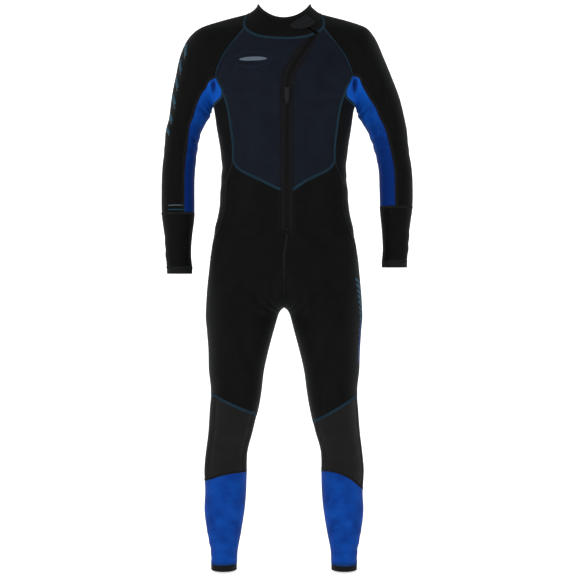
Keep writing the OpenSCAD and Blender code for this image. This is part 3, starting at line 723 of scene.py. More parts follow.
def jersey(name, dark, light, rough=0.72, patch=1.5, mean=0.3, fade=0.0):
    """Knitted lining on neoprene: fine wales and courses and slight mottling, with painted shade beside the
    seams and in the valleys of the folds. patch is the depth of the mottling about its mean, and fade is
    how much darker it is 400 mm further along."""
    material, tree, shader = base_material(name, rough, 0.03)
    cloth, x, y, shade_clearance = pattern_place(tree, True)
    knit = math_node(tree, "MULTIPLY", sine(tree, x, 3.9), sine(tree, y, 5.2))
    patches = noise(tree, cloth, 0.022, 3.0, 0.55)
    fleck = noise(tree, cloth, 0.35)
    amount = math_node(tree, "MULTIPLY_ADD", patches, patch, mean - patch / 2 - 0.3)
    amount = math_node(tree, "MULTIPLY_ADD", fleck, 0.6, amount)
    amount = math_node(tree, "MULTIPLY_ADD", y, -fade / 400, amount)
    amount = math_node(tree, "MULTIPLY_ADD", knit, 0.14, amount)
    # Painted shade: darker beside the seams and in the fold valleys.
    seam_and_fold_shade = math_node(tree, "MULTIPLY", shade_clearance, 0.16, clamp=True)
    pattern(tree, shader, math_node(tree, "MULTIPLY", amount, seam_and_fold_shade, clamp=True), dark, light,
            math_node(tree, "MULTIPLY_ADD", knit, 0.5, fleck), 0.35, 0.00016,
            math_node(tree, "MULTIPLY_ADD", patches, 0.12, rough - 0.06))
    return material


def dotted(name, dark, light):
    """Hard-wearing knee fabric: staggered flat dots of coating on a coarse knit."""
    material, tree, shader = base_material(name, 0.66, 0.04, specular=0.12)
    cloth, x, y, _ = pattern_place(tree, True)
    wave = math_node(tree, "MULTIPLY", sine(tree, math_node(tree, "ADD", x, y), 1.5),
                     sine(tree, math_node(tree, "SUBTRACT", x, y), 1.5))
    dots = math_node(tree, "MULTIPLY", wave, 2.2, clamp=True)
    mottle = math_node(tree, "MULTIPLY", noise(tree, cloth, 0.03, 3.0), noise(tree, cloth, 0.6))
    pattern(tree, shader, math_node(tree, "MULTIPLY_ADD", dots, 0.45, mottle), dark, light,
            dots, 0.5, rough=math_node(tree, "MULTIPLY_ADD", dots, -0.14, 0.7))
    return material


def woven(name, dark, light, rough=0.75, scale=1900.0):
    """Ribbed tape or band."""
    material, tree, shader = base_material(name, rough, 0.05)
    place, _, _, z = pattern_place(tree, False)
    rib = sine(tree, z, scale)
    mottle = noise(tree, place, 240.0)
    pattern(tree, shader, math_node(tree, "MULTIPLY_ADD", rib, 0.2, mottle), dark, light, rib, 0.4)
    return material


def thread(name, colour):
    material, _, shader = base_material(name, 0.55, 0.05, 0.4, 0.2)
    shader.inputs["Base Color"].default_value = (*colour, 1.0)
    return material


def moulded(name, dark, light, rough=0.6, metal=0.0, gloss=0.1):
    """Moulded plastic, coated metal or rubbery print, with faint flow marks and rubbed patches."""
    material, tree, shader = base_material(name, rough, 0.0, specular=gloss, metal=metal)
    place = pattern_place(tree, False)[0]
    fine = noise(tree, place, 900.0)
    pattern(tree, shader, noise(tree, place, 90.0, 4.0, 0.6), dark, light, fine, 0.15,
            rough=math_node(tree, "MULTIPLY_ADD", fine, 0.2, rough - 0.1))
    return material


BLACK = jersey("black_jersey", (0.0021, 0.0021, 0.0019), (0.0056, 0.0056, 0.0051))
NAVY = jersey("navy_jersey", (0.0045, 0.0064, 0.0115), (0.0085, 0.0120, 0.0205))
BLUE = jersey("blue_jersey", (0.0006, 0.028, 0.20), (0.003, 0.082, 0.44), rough=0.68)
BLUE_ARM = jersey("blue_jersey_sleeve", (0.0004, 0.020, 0.145), (0.004, 0.135, 0.70), rough=0.68,
                  patch=0.7, mean=0.56, fade=1.1)
KNEE = dotted("knee_fabric", (0.0029, 0.0028, 0.0026), (0.0094, 0.0089, 0.0083))
TRIM = woven("elastic_trim", (0.004, 0.0045, 0.005), (0.012, 0.0125, 0.0135))
TAPE = woven("zip_tape_weave", (0.0035, 0.0036, 0.004), (0.0105, 0.0105, 0.0115), scale=3200.0)
LOOP = woven("hook_and_loop", (0.006, 0.0062, 0.0068), (0.017, 0.0175, 0.0185), rough=0.85)
BLUE_BAND = woven("blue_seam_cover", (0.0045, 0.0150, 0.026), (0.0095, 0.0290, 0.047),
                  scale=2600.0)
BLACK_BAND = woven("black_seam_cover", (0.0045, 0.0046, 0.005), (0.0125, 0.0125, 0.013),
                   scale=2600.0)
BLACK_THREAD = thread("black_thread", (0.008, 0.0082, 0.0085))
TEETH = moulded("zip_teeth_plastic", (0.0016, 0.0017, 0.0019), (0.0034, 0.0035, 0.0039), 0.5,
                gloss=0.15)
SLIDER = moulded("zip_slider_coat", (0.010, 0.0105, 0.012), (0.022, 0.023, 0.026), 0.38, 0.5, 0.3)
BADGE = moulded("badge_print", (0.080, 0.110, 0.142), (0.118, 0.158, 0.202), gloss=0.15)
BADGE_RING = moulded("badge_ring_print", (0.005, 0.009, 0.018), (0.009, 0.016, 0.029))
PALE_PRINT = moulded("pale_print", (0.075, 0.105, 0.13), (0.12, 0.16, 0.19))
TEAL_PRINT = moulded("teal_print", (0.006, 0.045, 0.085), (0.014, 0.085, 0.14))
BLUE_PRINT = moulded("blue_print", (0.004, 0.022, 0.115), (0.009, 0.045, 0.20))
# Seam styles: the cover band's and the thread's materials, and the material slot.
TEAL_SEAM = (BLUE_BAND, thread("blue_thread", (0.0125, 0.044, 0.073)), "blue_neoprene")
ROYAL_SEAM = (BLUE_BAND, thread("royal_thread", (0.003, 0.085, 0.42)), "blue_neoprene")
BLACK_SEAM = (BLACK_BAND, BLACK_THREAD, "black_neoprene")


# --- panels of the torso ---

SIDE_FRONT = np.concatenate([
    front([187, 163, 151, 147, 143, 127, 132], [FORK_H, 866, 905, 950, 990, 1032, 1115]),
    armhole(np.array([SIDE_TURN]))])
SIDE_BACK = np.concatenate([
    back([187, 160, 142, 128, 118, 132], [FORK_H, 866, 905, 960, 1010, 1115]),
    armhole(np.array([360.0 - SIDE_TURN]))])
# Shares of the side seams at which the chest's and the waist's seams meet them.
CHEST_SPLIT = distances(SIDE_FRONT)[5] / distances(SIDE_FRONT)[-1]
WAIST_SPLIT = distances(SIDE_BACK)[4] / distances(SIDE_BACK)[-1]
ZIP_X = 7.0
ZIP_HALF = 15.0
ZIP_LOW_H = 858.0
ZIP_BEND_H = 1213.0
CHEST_LOW_H = 958.0
ZIP_TOP_ANGLE = -60.0
SLOT_END = 4.0
# Heights between which the abdomen's panels open out from the front seam to the zip's slot
ABDOMEN_STEP = (852.0, 859.0)

side_front = partial(along, SIDE_FRONT)
side_back = partial(along, SIDE_BACK)


def mirror_angle(p):
    return np.stack([np.where(p[:, 0] > 0, 180, -180) - p[:, 0], p[:, 1]], axis=1)


def mirrored(curve_of):
    return lambda t: mirror_angle(curve_of(t))


def same(curve_of):
    return curve_of


def chest_vee(edge_x):
    return np.concatenate([side_front(np.array([CHEST_SPLIT])),
                           front([113, 60, edge_x], [1012, 983, CHEST_LOW_H])])


ZIP_TOP = torso_point(np.array([ZIP_TOP_ANGLE]), neck_h(np.array([ZIP_TOP_ANGLE])))[0, [0, 2]]
ZIP_POINTS = np.array([[ZIP_X, ZIP_LOW_H], [ZIP_X, 976], [ZIP_X, 1094], [ZIP_X, ZIP_BEND_H - 12],
                       [ZIP_X, ZIP_BEND_H], [ZIP_X + 9, 1248], [ZIP_X + 30, 1286], ZIP_TOP])
ZIP_LEN = distances(ZIP_POINTS)[-1]


def slot_off(t, off):
    """Distance from the zip's middle. The slot that shows the tapes narrows to the teeth at its
    top."""
    size = np.abs(off)
    in_slot = np.maximum(0, np.minimum(size, ZIP_HALF) - SLOT_END)
    share = 1 - 0.94 * smooth((t - 0.86) / 0.14)
    return np.sign(off) * (np.minimum(size, SLOT_END) + in_slot * share
                           + np.maximum(0, size - ZIP_HALF))


def beside_zip(t, off):
    """Angle and height of points beside the zip's middle, off to the wearer's left of it where the
    slot is widest."""
    s = np.clip(t, 0.01, 0.99)
    ahead = unit(along(ZIP_POINTS, s + 0.01) - along(ZIP_POINTS, s - 0.01))
    sideways = np.stack([ahead[:, 1], -ahead[:, 0]], axis=1)
    at = along(ZIP_POINTS, t) + sideways * slot_off(t, off)[:, None]
    return front(at[:, 0], at[:, 1])


def zip_end(off):
    """Place along the zip at which strips, off from its middle, meet the neck seam."""
    off = np.atleast_1d(np.asarray(off, float))
    low, high = np.full(len(off), 0.9), np.full(len(off), 1.04)
    for _ in range(24):
        t = (low + high) / 2
        p = beside_zip(t, off)
        over = p[:, 1] > neck_h(p[:, 0])
        high = np.where(over, t, high)
        low = np.where(over, low, t)
    return (low + high) / 2


def coons(left, right, low, high):
    """where() of a panel between four curves of angle and height."""
    zero, one = np.array([0.0]), np.array([1.0])

    def where(u, v):
        corner = mix(mix(low(zero), low(one), u[:, None]), mix(high(zero), high(one), u[:, None]),
                     v[:, None])
        p = (mix(left(v), right(v), u[:, None]) + mix(low(u), high(u), v[:, None]) - corner)
        return p[:, 0], p[:, 1]
    return where


def straight(left, right):
    """Straight line between the starts of two curves."""
    start = np.array([0.0])
    return lambda u: mix(left(start), right(start), u[:, None])


def neck_between(left, right):
    """Stretch of the neck seam between the ends of two curves."""
    end = np.array([1.0])
    return lambda u: neck(mix(left(end)[0, 0], right(end)[0, 0], u))


def torso_panel(part, which, where, material=None, slot="black_neoprene", hidden=True):
    made = panel(f"{part}_panel_{which}", torso_point, where, material or BLACK, torso_folds,
                 hidden=hidden)
    settle(made, slot, SUIT, f"{part}_{which}")


def share_of(v, start, end):
    return np.clip((v - start) / (end - start), 0, 1)


# Shares of the chest panel's outer edge at which its V and its side end, and of the V left out
# at its tip.
VEE_END = 0.25
SIDE_END = 0.5
TIP = 0.05


def chest_edge(edge_x, v):
    vee = along(chest_vee(edge_x), mix(1 - TIP, 0, share_of(v, 0, VEE_END)))
    side = side_front(mix(CHEST_SPLIT, 1, share_of(v, VEE_END, SIDE_END)))
    hole = armhole(mix(SIDE_TURN, CORNER_TURN, share_of(v, SIDE_END, 1)))
    return np.where((v < VEE_END)[:, None], vee, np.where((v < SIDE_END)[:, None], side, hole))


def zip_side(off, v):
    start = (CHEST_LOW_H - ZIP_LOW_H) / ZIP_LEN
    return beside_zip(mix(start, float(zip_end(off)[0]), v), np.full(len(v), off))


def build_chest():
    for side, way in WAYS:
        inner = partial(zip_side, way * ZIP_HALF)
        outer = partial(chest_edge, ZIP_HALF + way * ZIP_X)
        left, right = (mirrored(outer), inner) if way < 0 else (inner, outer)
        where = coons(left, right, straight(left, right), neck_between(left, right))
        torso_panel("chest", side, where, NAVY, "navy_neoprene", hidden=False)


def middle_x(h):
    """Front seam below the zip, which runs across to the middle of the crotch."""
    return ZIP_X * smooth((h - FORK_H) / (ABDOMEN_STEP[0] - FORK_H))


def abdomen_edge(way, v):
    h = mix(FORK_H, CHEST_LOW_H, v)
    low, high = ABDOMEN_STEP
    return front(middle_x(h) + way * ZIP_HALF * smooth((h - low) / (high - low)), h)


def build_abdomen():
    for side, way in WAYS:
        vee = partial(along, chest_vee(ZIP_HALF + way * ZIP_X))
        outer = lambda v: side_front(mix(0, CHEST_SPLIT, v))
        inner = partial(abdomen_edge, way)
        if way < 0:
            left, right, high = mirrored(outer), inner, mirrored(vee)
        else:
            left, right, high = inner, outer, lambda u: vee(1 - u)
        torso_panel("abdomen", side, coons(left, right, straight(left, right), high))


def build_sides():
    where = coons(side_front, side_back, straight(side_front, side_back),
                  lambda u: armhole(mix(SIDE_TURN, 360.0 - SIDE_TURN, u)))
    torso_panel("side", "left", where)

    def other(u, v):
        a, h = where(u, v)
        return 180 - a, h
    torso_panel("side", "right", other)


def back_seam(u):
    a = side_back(np.array([WAIST_SPLIT]))[0]
    return np.stack([mix(a[0], 180 - a[0], u), a[1] - 25 * sin_deg(180 * u)], axis=1)


BACK_SIDE_END = 0.4


def back_edge(v):
    side = side_back(mix(WAIST_SPLIT, 1, share_of(v, 0, BACK_SIDE_END)))
    hole = armhole(mix(360.0 - SIDE_TURN, 360.0 - CORNER_TURN, share_of(v, BACK_SIDE_END, 1)))
    return np.where((v < BACK_SIDE_END)[:, None], side, hole)


def build_back():
    left, right = back_edge, mirrored(back_edge)
    torso_panel("back", "upper", coons(left, right, back_seam, neck_between(left, right)),
                hidden=False)
    left = lambda v: side_back(mix(0, WAIST_SPLIT, v))
    right = mirrored(left)
    torso_panel("back", "lower", coons(left, right, straight(left, right), back_seam))


# --- sleeves and legs ---

def sleeve_where(turn_a, turn_b, top, bottom):
    def where(u, v):
        station = mix(top, bottom, v)
        return mix(turn_a(station), turn_b(station), u), station
    return where


def build_sleeves():
    for side, surface in SLEEVES.items():
        edge = partial(sleeve_edge, side)
        cuts = [("sleeve", sleeve_where(lambda s: -edge(s), edge, HOLE, FOREARM_SEAM_H),
                 BLACK, "black_neoprene", (200, 520), ("sleeve_upper", "elbow", "sleeve_lower")),
                ("underarm", sleeve_where(edge, lambda s: 360 - edge(s), HOLE, FOREARM_SEAM_H),
                 BLUE_ARM, "blue_neoprene", (210, 480), ("underarm_upper", "underarm_lower")),
                ("forearm", sleeve_where(lambda s: 180.0, lambda s: 540.0, FOREARM_SEAM_H, WRIST),
                 BLACK, "black_neoprene", None, ("forearm",))]
        for name, where, material, slot, size, nodes in cuts:
            made = panel(f"{name}_panel_{side}", surface, where, material, sleeve_folds, size)
            settle(made, slot, ARM_BEND[side], *[f"{n}_{side}" for n in nodes])


def leg_where(turn_a, turn_b, top, bottom):
    def where(u, v):
        turn = mix(turn_a, turn_b, u)
        return turn, mix(top(turn), bottom(turn), v)
    return where


def build_legs():
    fork, hem = lambda a: np.full(len(a), FORK_H), lambda a: np.full(len(a), HEM_LEN)
    for side, surface in LEGS.items():
        over, under = partial(knee_top, side), partial(knee_bottom, side)
        pad = LEG_SEAMS[side][4]
        cuts = [("thigh_front", OUTER_LEG, INSEAM, fork, over, BLACK, "black_neoprene"),
                ("thigh_back", INSEAM, 360 + OUTER_LEG, fork, over, BLACK, "black_neoprene"),
                ("knee_pad", pad, PAD_END, over, under, KNEE, "knee_fabric"),
                ("knee_back", PAD_END, 360 + pad, over, under, BLACK, "black_neoprene"),
                ("lower_leg", INSEAM, 360 + INSEAM, under, hem, BLUE, "blue_neoprene")]
        for name, a, b, top, bottom, material, slot in cuts:
            made = panel(f"{name}_panel_{side}", surface, leg_where(a, b, top, bottom), material,
                         leg_folds, hidden=top is fork)
            settle(made, slot, LEG_BEND[side], f"{name}_{side}")


def build_band(name, node_name, body, centre, inner, high):
    """Folded and stitched band: a closed (radius, height) profile turned about a vertical axis."""
    profile = [(inner, 0.7), (inner + 0.7, 0), (inner + 3.5, 0), (inner + 4.2, 0.8),
               (inner + 4.35, 2.6), (inner + 4.1, 3.4), (inner + 4.3, high * 0.5),
               (inner + 4.35, high - 1.6), (inner + 3.9, high - 0.2), (inner + 0.8, high - 0.2),
               (inner, high - 0.9)]
    sides = 96
    turn = np.linspace(0, 2 * np.pi, sides, endpoint=False)
    out = np.stack([np.cos(turn), np.sin(turn), np.zeros(sides)], axis=1)
    up = np.tile([0.0, 0.0, 1.0], (sides, 1))
    parts = Parts()
    parts.add(*sweep(np.tile(np.array(centre, float), (sides, 1)), out, up, profile, closed=True))
    settle(parts.build(name, TRIM), "elastic_trim", rides(body), node_name)


def build_ends():
    for (side, way), rows in zip(WAYS, (RIGHT_ROWS, LEFT_ROWS)):
        _, outer, inner, _, y = rows[0]
        middle = (outer + inner) / 2
        build_band(f"wrist_band_{side}", f"cuff_{side}", f"forearm_{side}",
                   (way * middle[0], y, middle[1] - CUFF_LEN), CUFF_R, CUFF_LEN)
        build_band(f"ankle_band_{side}", f"ankle_hem_{side}", f"shin_{side}",
                   (way * LEG[-1][1], 0, 0), HEM_R, HEM_LEN)


# --- seams ---

def build_torso_seams():
    seams = Seams(torso_point)
    a = np.linspace(ZIP_TOP_ANGLE + 3, ZIP_TOP_ANGLE + 357, 400)
    seams.follow(a, neck_h(a), (collar_point, a, np.full(len(a), 0.03)))
    turn = np.linspace(CORNER_TURN, 360 - CORNER_TURN, 400)
    near = np.full(len(turn), HOLE - 6.0)
    for side, way in reversed(WAYS):
        flip = mirrored if way < 0 else same
        hole = flip(armhole)(turn)
        hole[:, 0] = np.where(hole[:, 0] == -180, 180, hole[:, 0])
        seams.follow(*hole.T, (SLEEVES[side], turn, near))
        seams.trace(flip(side_front), CHEST_SPLIT, 0.985)
        seams.trace(flip(partial(along, chest_vee(ZIP_HALF + way * ZIP_X))))
    seams.finish("blue_seams", TEAL_SEAM, SUIT)
    seams = Seams(torso_point)
    for flip in (mirrored, same):
        seams.trace(flip(side_front), 0.0, CHEST_SPLIT)
        seams.trace(flip(side_back), 0.0, 0.985, 240)
    seams.trace(back_seam)
    h = np.linspace(FORK_H, 850.0, 160)
    seams.follow(*front(middle_x(h), h).T)
    seams.follow(90.0, np.linspace(FORK_H, back_seam(np.array([0.5]))[0, 1] - 3, 160))
    seams.finish("body_seams", BLACK_SEAM, SUIT)


def build_sleeve_seams():
    turn = np.linspace(180, 540, 160)
    for side, surface in SLEEVES.items():
        seams = Seams(surface)
        station = np.linspace(HOLE - 8.0, FOREARM_SEAM_H, 260)
        edge = sleeve_edge(side, station)
        seams.follow(edge, station)
        seams.follow(360 - edge, station)
        seams.follow(turn, FOREARM_SEAM_H)
        seams.follow(180.0, np.linspace(FOREARM_SEAM_H, WRIST, 80))
        seams.follow(turn, WRIST + 0.6)
        seams.finish(f"sleeve_seams_{side}", BLACK_SEAM, ARM_BEND[side])


def crotch_line():
    turn = np.linspace(90, 270, 160)
    line = fork_point(turn, 0.0)
    line[:, 0] = 0
    n = unit(np.cross(np.gradient(line, axis=0), [1.0, 0, 0]))
    down = np.sum(n * (line - fork_point(turn, 2.0)), axis=1)
    return line, n * np.where(down < 0, -1, 1)[:, None]


def build_leg_seams():
    turn = np.linspace(INSEAM, 360 + INSEAM, 240)
    for side, surface in LEGS.items():
        over, under = partial(knee_top, side), partial(knee_bottom, side)
        seams = Seams(surface)
        for at, top in ((INSEAM, FORK_H - 8), (OUTER_LEG, FORK_H - 4)):
            seams.follow(at, np.linspace(top, over(at), 240))
        for at in (LEG_SEAMS[side][4], PAD_END):
            seams.follow(at, np.linspace(over(at), under(at), 100))
        seams.follow(turn, under(turn))
        seams.finish(f"leg_seams_{side}", BLACK_SEAM, LEG_BEND[side])
        seams = Seams(surface)
        seams.follow(turn, over(turn))
        seams.finish(f"knee_seams_{side}", TEAL_SEAM, LEG_BEND[side])
        seams = Seams(surface)
        seams.follow(turn, HEM_LEN + 0.8)
        seams.follow(INSEAM, np.linspace(under(INSEAM), HEM_LEN, 120))
        seams.finish(f"hem_seams_{side}", ROYAL_SEAM, LEG_BEND[side])
    seams = Seams(None)
    line, n = crotch_line()
    seams.cover(line + n * ripple(line)[:, None], n)
    seams.finish("crotch_seam", BLACK_SEAM, SUIT)


# --- zip ---

TEETH_HALF = 3.3
TOOTH_STEP = 2.5
# Outline of a tooth, as (sideways, along the zip) offsets, and its layers' heights and sizes.
TOOTH = np.array([(3.1, -0.95), (3.1, 0.95), (-0.8, 1.0), (-1.9, 0.55), (-1.9, -0.55),
                  (-0.8, -1.0)])
TOOTH_LAYERS = [(-1.9, 1.0), (0.15, 1.0), (0.5, 0.9), (0.66, 0.66)]
TEETH_START = 0.014


def zip_frames(t, off=0.0):
    """Point, direction along the zip, direction to the wearer's left and outward normal."""
    offs = np.full(len(t), float(off))
    p = beside_zip(t, offs)
    at, n = surface_frame(torso_point, p[:, 0], p[:, 1])
    q = beside_zip(t, offs + 1)
    b = torso_point(q[:, 0], q[:, 1]) - at
    b = unit(b - n * np.sum(b * n, axis=1, keepdims=True))
    return at + n * ripple(at)[:, None], np.cross(n, b), b, n


def zip_strip(name, material, offs, low, high, slot, node_name, **look):
    """A strip along the zip between two distances from its middle, from low to high(u)."""
    def where(u, v):
        p = beside_zip(mix(low, high(u), v), mix(*offs, u))
        return p[:, 0], p[:, 1]
    made = panel(name, torso_point, where, material, sink=0.0, **look)
    settle(made, slot, SUIT, node_name)


def build_tapes():
    for side, way in WAYS:
        offs = (way * (TEETH_HALF - 0.4), way * (ZIP_HALF + 1.5))
        ends = zip_end(offs)
        zip_strip(f"zip_tape_strip_{side}", TAPE, offs, -0.012, lambda u: mix(*ends, u) - 0.002,
                  "zip_tape", f"zip_tape_{side}", size=(13, 500), step=3.0, depths=(1.5, 2.7),
                  stretch=1.0)


def build_flap():
    offs = (-ZIP_HALF - 8, ZIP_HALF + 8)
    zip_strip("zip_flap_strip", BLACK, offs, -0.02, lambda u: zip_end(mix(*offs, u)) - 0.03,
              "black_neoprene", "zip_flap", size=(46, 490), depths=(WALL + 0.9, WALL + 2.6))


def build_teeth():
    last = float(zip_end(0.0)[0]) - TEETH_START
    count = int((last - TEETH_START) * ZIP_LEN / TOOTH_STEP)
    at, forward, b, n = zip_frames(TEETH_START + np.arange(count) * TOOTH_STEP / ZIP_LEN)
    corners = len(TOOTH)
    i = np.arange(corners)
    j = (i + 1) % corners
    levels = range(len(TOOTH_LAYERS) - 1)
    faces = [np.concatenate([np.stack([i, j, j + corners, i + corners], axis=1) + r * corners
                             for r in levels]),
             (i + len(levels) * corners)[None, :], i[::-1][None, :]]
    spots = [(TOOTH * share + TOOTH.mean(axis=0) * (1 - share), out) for out, share in TOOTH_LAYERS]
    bead = [(0.75 * math.cos(x), 0.75 * math.sin(x)) for x in np.linspace(0, 2 * math.pi, 9)[:-1]]
    for start, (side, way) in enumerate(WAYS):
        parts = Parts()
        for k in range(start, count, 2):
            parts.add(np.concatenate([at[k] + b[k] * spot[:, :1] * way + forward[k] * spot[:, 1:]
                                      + n[k] * out for spot, out in spots]),
                      [f[:, ::-1] if way < 0 else f for f in faces])
        line, _, across, up = zip_frames(np.linspace(0.012, last + 0.002, 400), way * 3.25)
        parts.add(*sweep(line - up * 0.5, across, up, bead))
        settle(parts.build(f"zip_teeth_row_{side}", TEETH, crease=35), "zip_plastic", SUIT,
               f"zip_teeth_{side}")


def build_zip_stitches():
    """Rows of straight stitches that hold the tapes to the panels, and the bar tack below them."""
    threads = Parts()
    for way in (-1, 1):
        end = float(zip_end(way * (ZIP_HALF + 4))[0]) - 0.008
        for off in (2.6, 5.2):
            p = beside_zip(np.linspace(0.0, end, 400), np.full(400, way * (ZIP_HALF + off)))
            stitch_row(threads, *on_cloth(torso_point, *p.T, lift=0.1), 0.0, 0.0, 0.36)
    for h in (852.0, 854.2):
        p = front(np.linspace(ZIP_X - 17, ZIP_X + 17, 60), h)
        zigzag(threads, *on_cloth(torso_point, *p.T), 1.1, 0.25)
    settle(threads.build("zip_stitches", BLACK_THREAD, crease=80), "black_neoprene", SUIT)


# --- collar ---

TAB_SEWN = -42.0
TAB_FREE = -80.0
COLLAR_ENDS = (ZIP_TOP_ANGLE + 1.2, ZIP_TOP_ANGLE + 358.8)
COLLAR_EDGE = [(-6.3, -2.1), (-6.3, 2.1), (-5.8, 2.35), (0.3, 2.4), (1.2, 1.7), (1.6, 0),
               (1.2, -1.7), (0.3, -2.4), (-5.8, -2.35)]


def build_collar():
    made = panel("collar_panel", collar_point, lambda u, v: (mix(*COLLAR_ENDS, u), 0.96 * v),
                 BLACK, collar_folds, depths=(0.0, COLLAR_WALL), step=3.5)
    settle(made, "black_neoprene", SUIT, "collar")
    a = np.linspace(*COLLAR_ENDS, 300)
    line, n = surface_frame(collar_point, a, np.full(len(a), 0.985), rise_step=0.01)
    line = line - n * COLLAR_WALL / 2 + n * ripple(line)[:, None]
    line, n, _ = even(line, n, 2.5)
    side, up = frames(line, n)
    high = side * np.where(side[:, 2:] < 0, -1, 1)
    binding, threads = Parts(), Parts()
    binding.add(*sweep(line, high, up, COLLAR_EDGE))
    settle(binding.build("collar_binding", TRIM), "black_neoprene", SUIT)
    stitch_row(threads, line - high * 4.6, n, 0.0, 2.5, 0.36)
    settle(threads.build("collar_stitches", BLACK_THREAD, crease=80), "black_neoprene", SUIT)


def tab_where(u, v):
    round_end = 0.16 * (1 - u) ** 4
    return mix(TAB_FREE, TAB_SEWN, u), mix(0.3 + round_end, 0.8 - round_end, v)


def build_tab():
    made = panel("collar_tab_strap", collar_point, tab_where, LOOP, depths=(-3.1, -0.6), step=1.6,
                 sink=0.5, stretch=1.0)
    settle(made, "hook_and_loop", rides("collar_tab"), "collar_tab")
    threads = Parts()
    s = np.linspace(0, 1, 60)
    for u0, v0, u1, v1 in ((0.1, 0.13, 0.94, 0.1), (0.1, 0.87, 0.94, 0.9), (0.94, 0.1, 0.94, 0.9),
                           (0.76, 0.1, 0.76, 0.9), (0.76, 0.1, 0.94, 0.9), (0.76, 0.9, 0.94, 0.1)):
        spot = tab_where(mix(u0, u1, s), mix(v0, v1, s))
        line, n = on_cloth(collar_point, *spot, lift=3.15, rise_step=0.01)
        stitch_row(threads, line, n, 0.0, 0.0, 0.3)
    settle(threads.build("collar_tab_stitches", BLACK_THREAD, crease=80), "hook_and_loop",
           rides("collar_tab"))


# --- prints ---

def print_line(parts, surface, p, q, half, thick=0.45, closed=False):
    """A flat printed stroke that follows a surface."""
    line, n = on_cloth(surface, p, q)
    profile = [(-half, -0.4), (half, -0.4), (half, thick - 0.1), (half - 0.15, thick),
               (0.15 - half, thick), (-half, thick - 0.1)]
    parts.add(*sweep(line, *frames(line, n), profile, closed=closed))


def print_stroke(parts, surface, turn, station, corners, half, radius):
    """A printed run of straight strokes. corners are millimetres from a turn and a station, where
    the limb has the given radius."""
    spot, _ = resample(np.array(corners, float), 24)
    print_line(parts, surface, turn + spot[:, 0] * 57.3 / radius, station + spot[:, 1], half)


def print_bar(parts, surface, turn, station, reach, rise, half, radius):
    print_stroke(parts, surface, turn, station, [(-reach, -rise), (reach, rise)], half, radius)


def build_badge():
    turn = np.linspace(0, 2 * np.pi, 97)
    share = np.concatenate([[0.0], np.linspace(0.2, 1, 7)])
    x = -76 + 34 * share[:, None] * np.cos(turn)
    h = 1280 + 5.2 * share[:, None] * np.sin(turn)
    at, n = on_cloth(torso_point, *front(x.ravel(), h.ravel()).T)
    made = mesh_object("badge_oval", np.concatenate([at + n * 0.75, at + n * 0.1]),
                       [shell_faces(*x.shape, True)], BADGE)
    settle(made, "badge_print", SUIT, "chest_badge")
    parts = Parts()
    turn = np.linspace(0, 2 * np.pi, 121)[:-1]
    for grow in (1.0, 0.86):
        spot = front(-80 + 50 * grow * np.cos(turn), 1279 + 21 * grow * np.sin(turn))
        print_line(parts, torso_point, *spot.T, 0.8, 0.5, closed=True)
    settle(parts.build("badge_outline", BADGE_RING), "badge_print", SUIT)


def build_prints():
    teal, pale = Parts(), Parts()
    for k in range(6):
        for parts, down, half in ((teal, 0.0, 2.8), (pale, 7.0, 0.8)):
            chevron = [(-14, -9 - down), (0, 5 - down), (14, -9 - down)]
            print_stroke(parts, right_sleeve, 30, 1266 - 30 * k, chevron, half, 48)
    print_bar(pale, right_sleeve, 88, 938, 20, 0, 0.9, 42)
    print_bar(teal, right_sleeve, 92, 928, 23, 0, 0.9, 42)
    settle(teal.build("sleeve_print_teal", TEAL_PRINT), "badge_print", ARM_BEND["right"])
    settle(pale.build("sleeve_print_pale", PALE_PRINT), "badge_print", ARM_BEND["right"])
    teal, blue, pale = Parts(), Parts(), Parts()
    for k in range(15):
        print_bar(teal if k < 8 else blue, leg_point, 15, 730 - 14 * k, 15 - 0.4 * k, 9, 3.2, 78)
        if k > 10:
            print_bar(pale, leg_point, 17, 724 - 14 * k, 10 - 0.4 * k, 6, 0.8, 78)
    for parts, name, material in ((teal, "teal", TEAL_PRINT), (blue, "blue", BLUE_PRINT),
                                  (pale, "pale", PALE_PRINT)):
        settle(parts.build(f"thigh_print_{name}", material), "badge_print", SUIT)


def dress_nodes():
    """Gives the CAD nodes that stay in sight their materials."""
    for name, material in (("zip_slider", SLIDER), ("zip_pull", SLIDER), ("zip_top_stop", TEETH),
                           ("zip_bottom_stop", TEETH)):
        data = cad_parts[name].data
        data.materials.clear()
        data.materials.append(material)


# --- studio ---

def lamp(name, place, aim_z, size, power):
    """A rectangular lamp that faces the suit's axis at a height."""
    data = bpy.data.lights.new(name, "AREA")
    data.shape = "RECTANGLE"
    data.size, data.size_y = size
    data.energy = power
    obj = bpy.data.objects.new(name, data)
    bpy.context.scene.collection.objects.link(obj)
    obj.location = place
    x, y, z = place
    obj.rotation_euler = (math.atan2(math.hypot(x, y), z - aim_z), 0, math.atan2(y, x) + math.pi / 2)


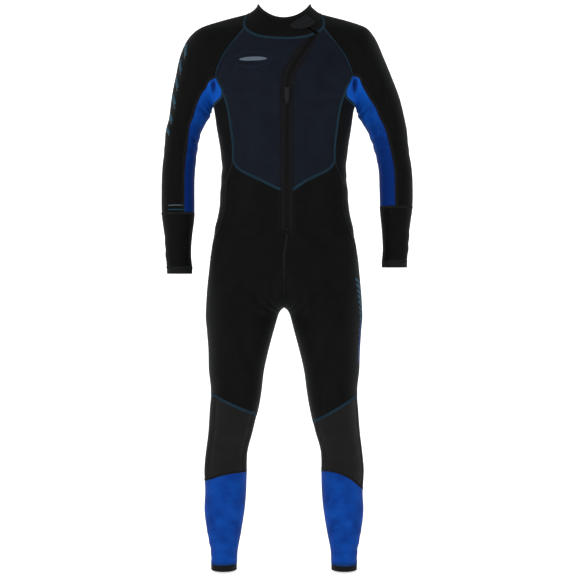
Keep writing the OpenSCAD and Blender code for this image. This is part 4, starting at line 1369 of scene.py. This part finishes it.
def build_backdrop():
    """Floor that curves up into a wall behind the suit."""
    paint = bpy.data.materials.new("studio_white")
    paint.use_nodes = True
    shader = paint.node_tree.nodes["Principled BSDF"]
    for key, value in (("Base Color", (0.86, 0.86, 0.86, 1)), ("Roughness", 0.9),
                       ("Emission Color", (1, 1, 1, 1)), ("Emission Strength", 0.62)):
        shader.inputs[key].default_value = value
    turn = np.linspace(0, math.pi / 2, 17)
    y = np.concatenate([[-6000.0], 2500 + 900 * np.sin(turn), [3400.0]])
    h = np.concatenate([[-3.0], -3 + 900 * (1 - np.cos(turn)), [5200.0]])
    points = [np.stack([np.full(len(y), x), y, h], axis=1) for x in (-7000.0, 7000.0)]
    i = np.arange(len(y) - 1)
    faces = np.stack([i, i + len(y), i + len(y) + 1, i + 1], axis=1)
    mesh_object("studio_sweep", np.concatenate(points), [faces], paint)


def build_studio():
    build_backdrop()
    world = bpy.data.worlds.new("studio_world")
    bpy.context.scene.world = world
    world.use_nodes = True
    tree = world.node_tree
    tree.nodes["Background"].inputs["Color"].default_value = (1, 1, 1, 1)
    # The sky is white to look at and dimmer as a light.
    seen = node(tree, "ShaderNodeLightPath").outputs["Is Camera Ray"]
    tree.links.new(math_node(tree, "MULTIPLY_ADD", seen, 0.6, 0.4),
                   tree.nodes["Background"].inputs["Strength"])
    lamp("key_lamp", (-2.2, -3.0, 1.2), -0.5, (1.8, 2.4), 50)
    lamp("fill_lamp", (2.6, -2.6, 0.2), -0.7, (1.6, 2.4), 14)
    lamp("rim_lamp_left", (2.4, 1.4, 0.6), -0.5, (0.8, 2.4), 10)
    lamp("rim_lamp_right", (-2.4, 1.4, 0.6), -0.5, (0.8, 2.4), 10)
    bpy.context.scene.view_settings.view_transform = "Standard"


def build_camera():
    data = bpy.data.cameras.new("camera")
    data.sensor_width = 36
    data.lens = 73.6
    camera = bpy.data.objects.new("camera", data)
    bpy.context.scene.collection.objects.link(camera)
    camera.location = (0.010, -3.0, -0.684)
    camera.rotation_euler = (math.radians(90), 0, 0)
    bpy.context.scene.camera = camera


build_chest()
build_abdomen()
build_sides()
build_back()
build_sleeves()
build_legs()
build_ends()
build_torso_seams()
build_sleeve_seams()
build_leg_seams()
build_tapes()
build_teeth()
build_zip_stitches()
build_flap()
build_collar()
build_tab()
build_badge()
build_prints()
dress_nodes()
build_studio()
build_camera()
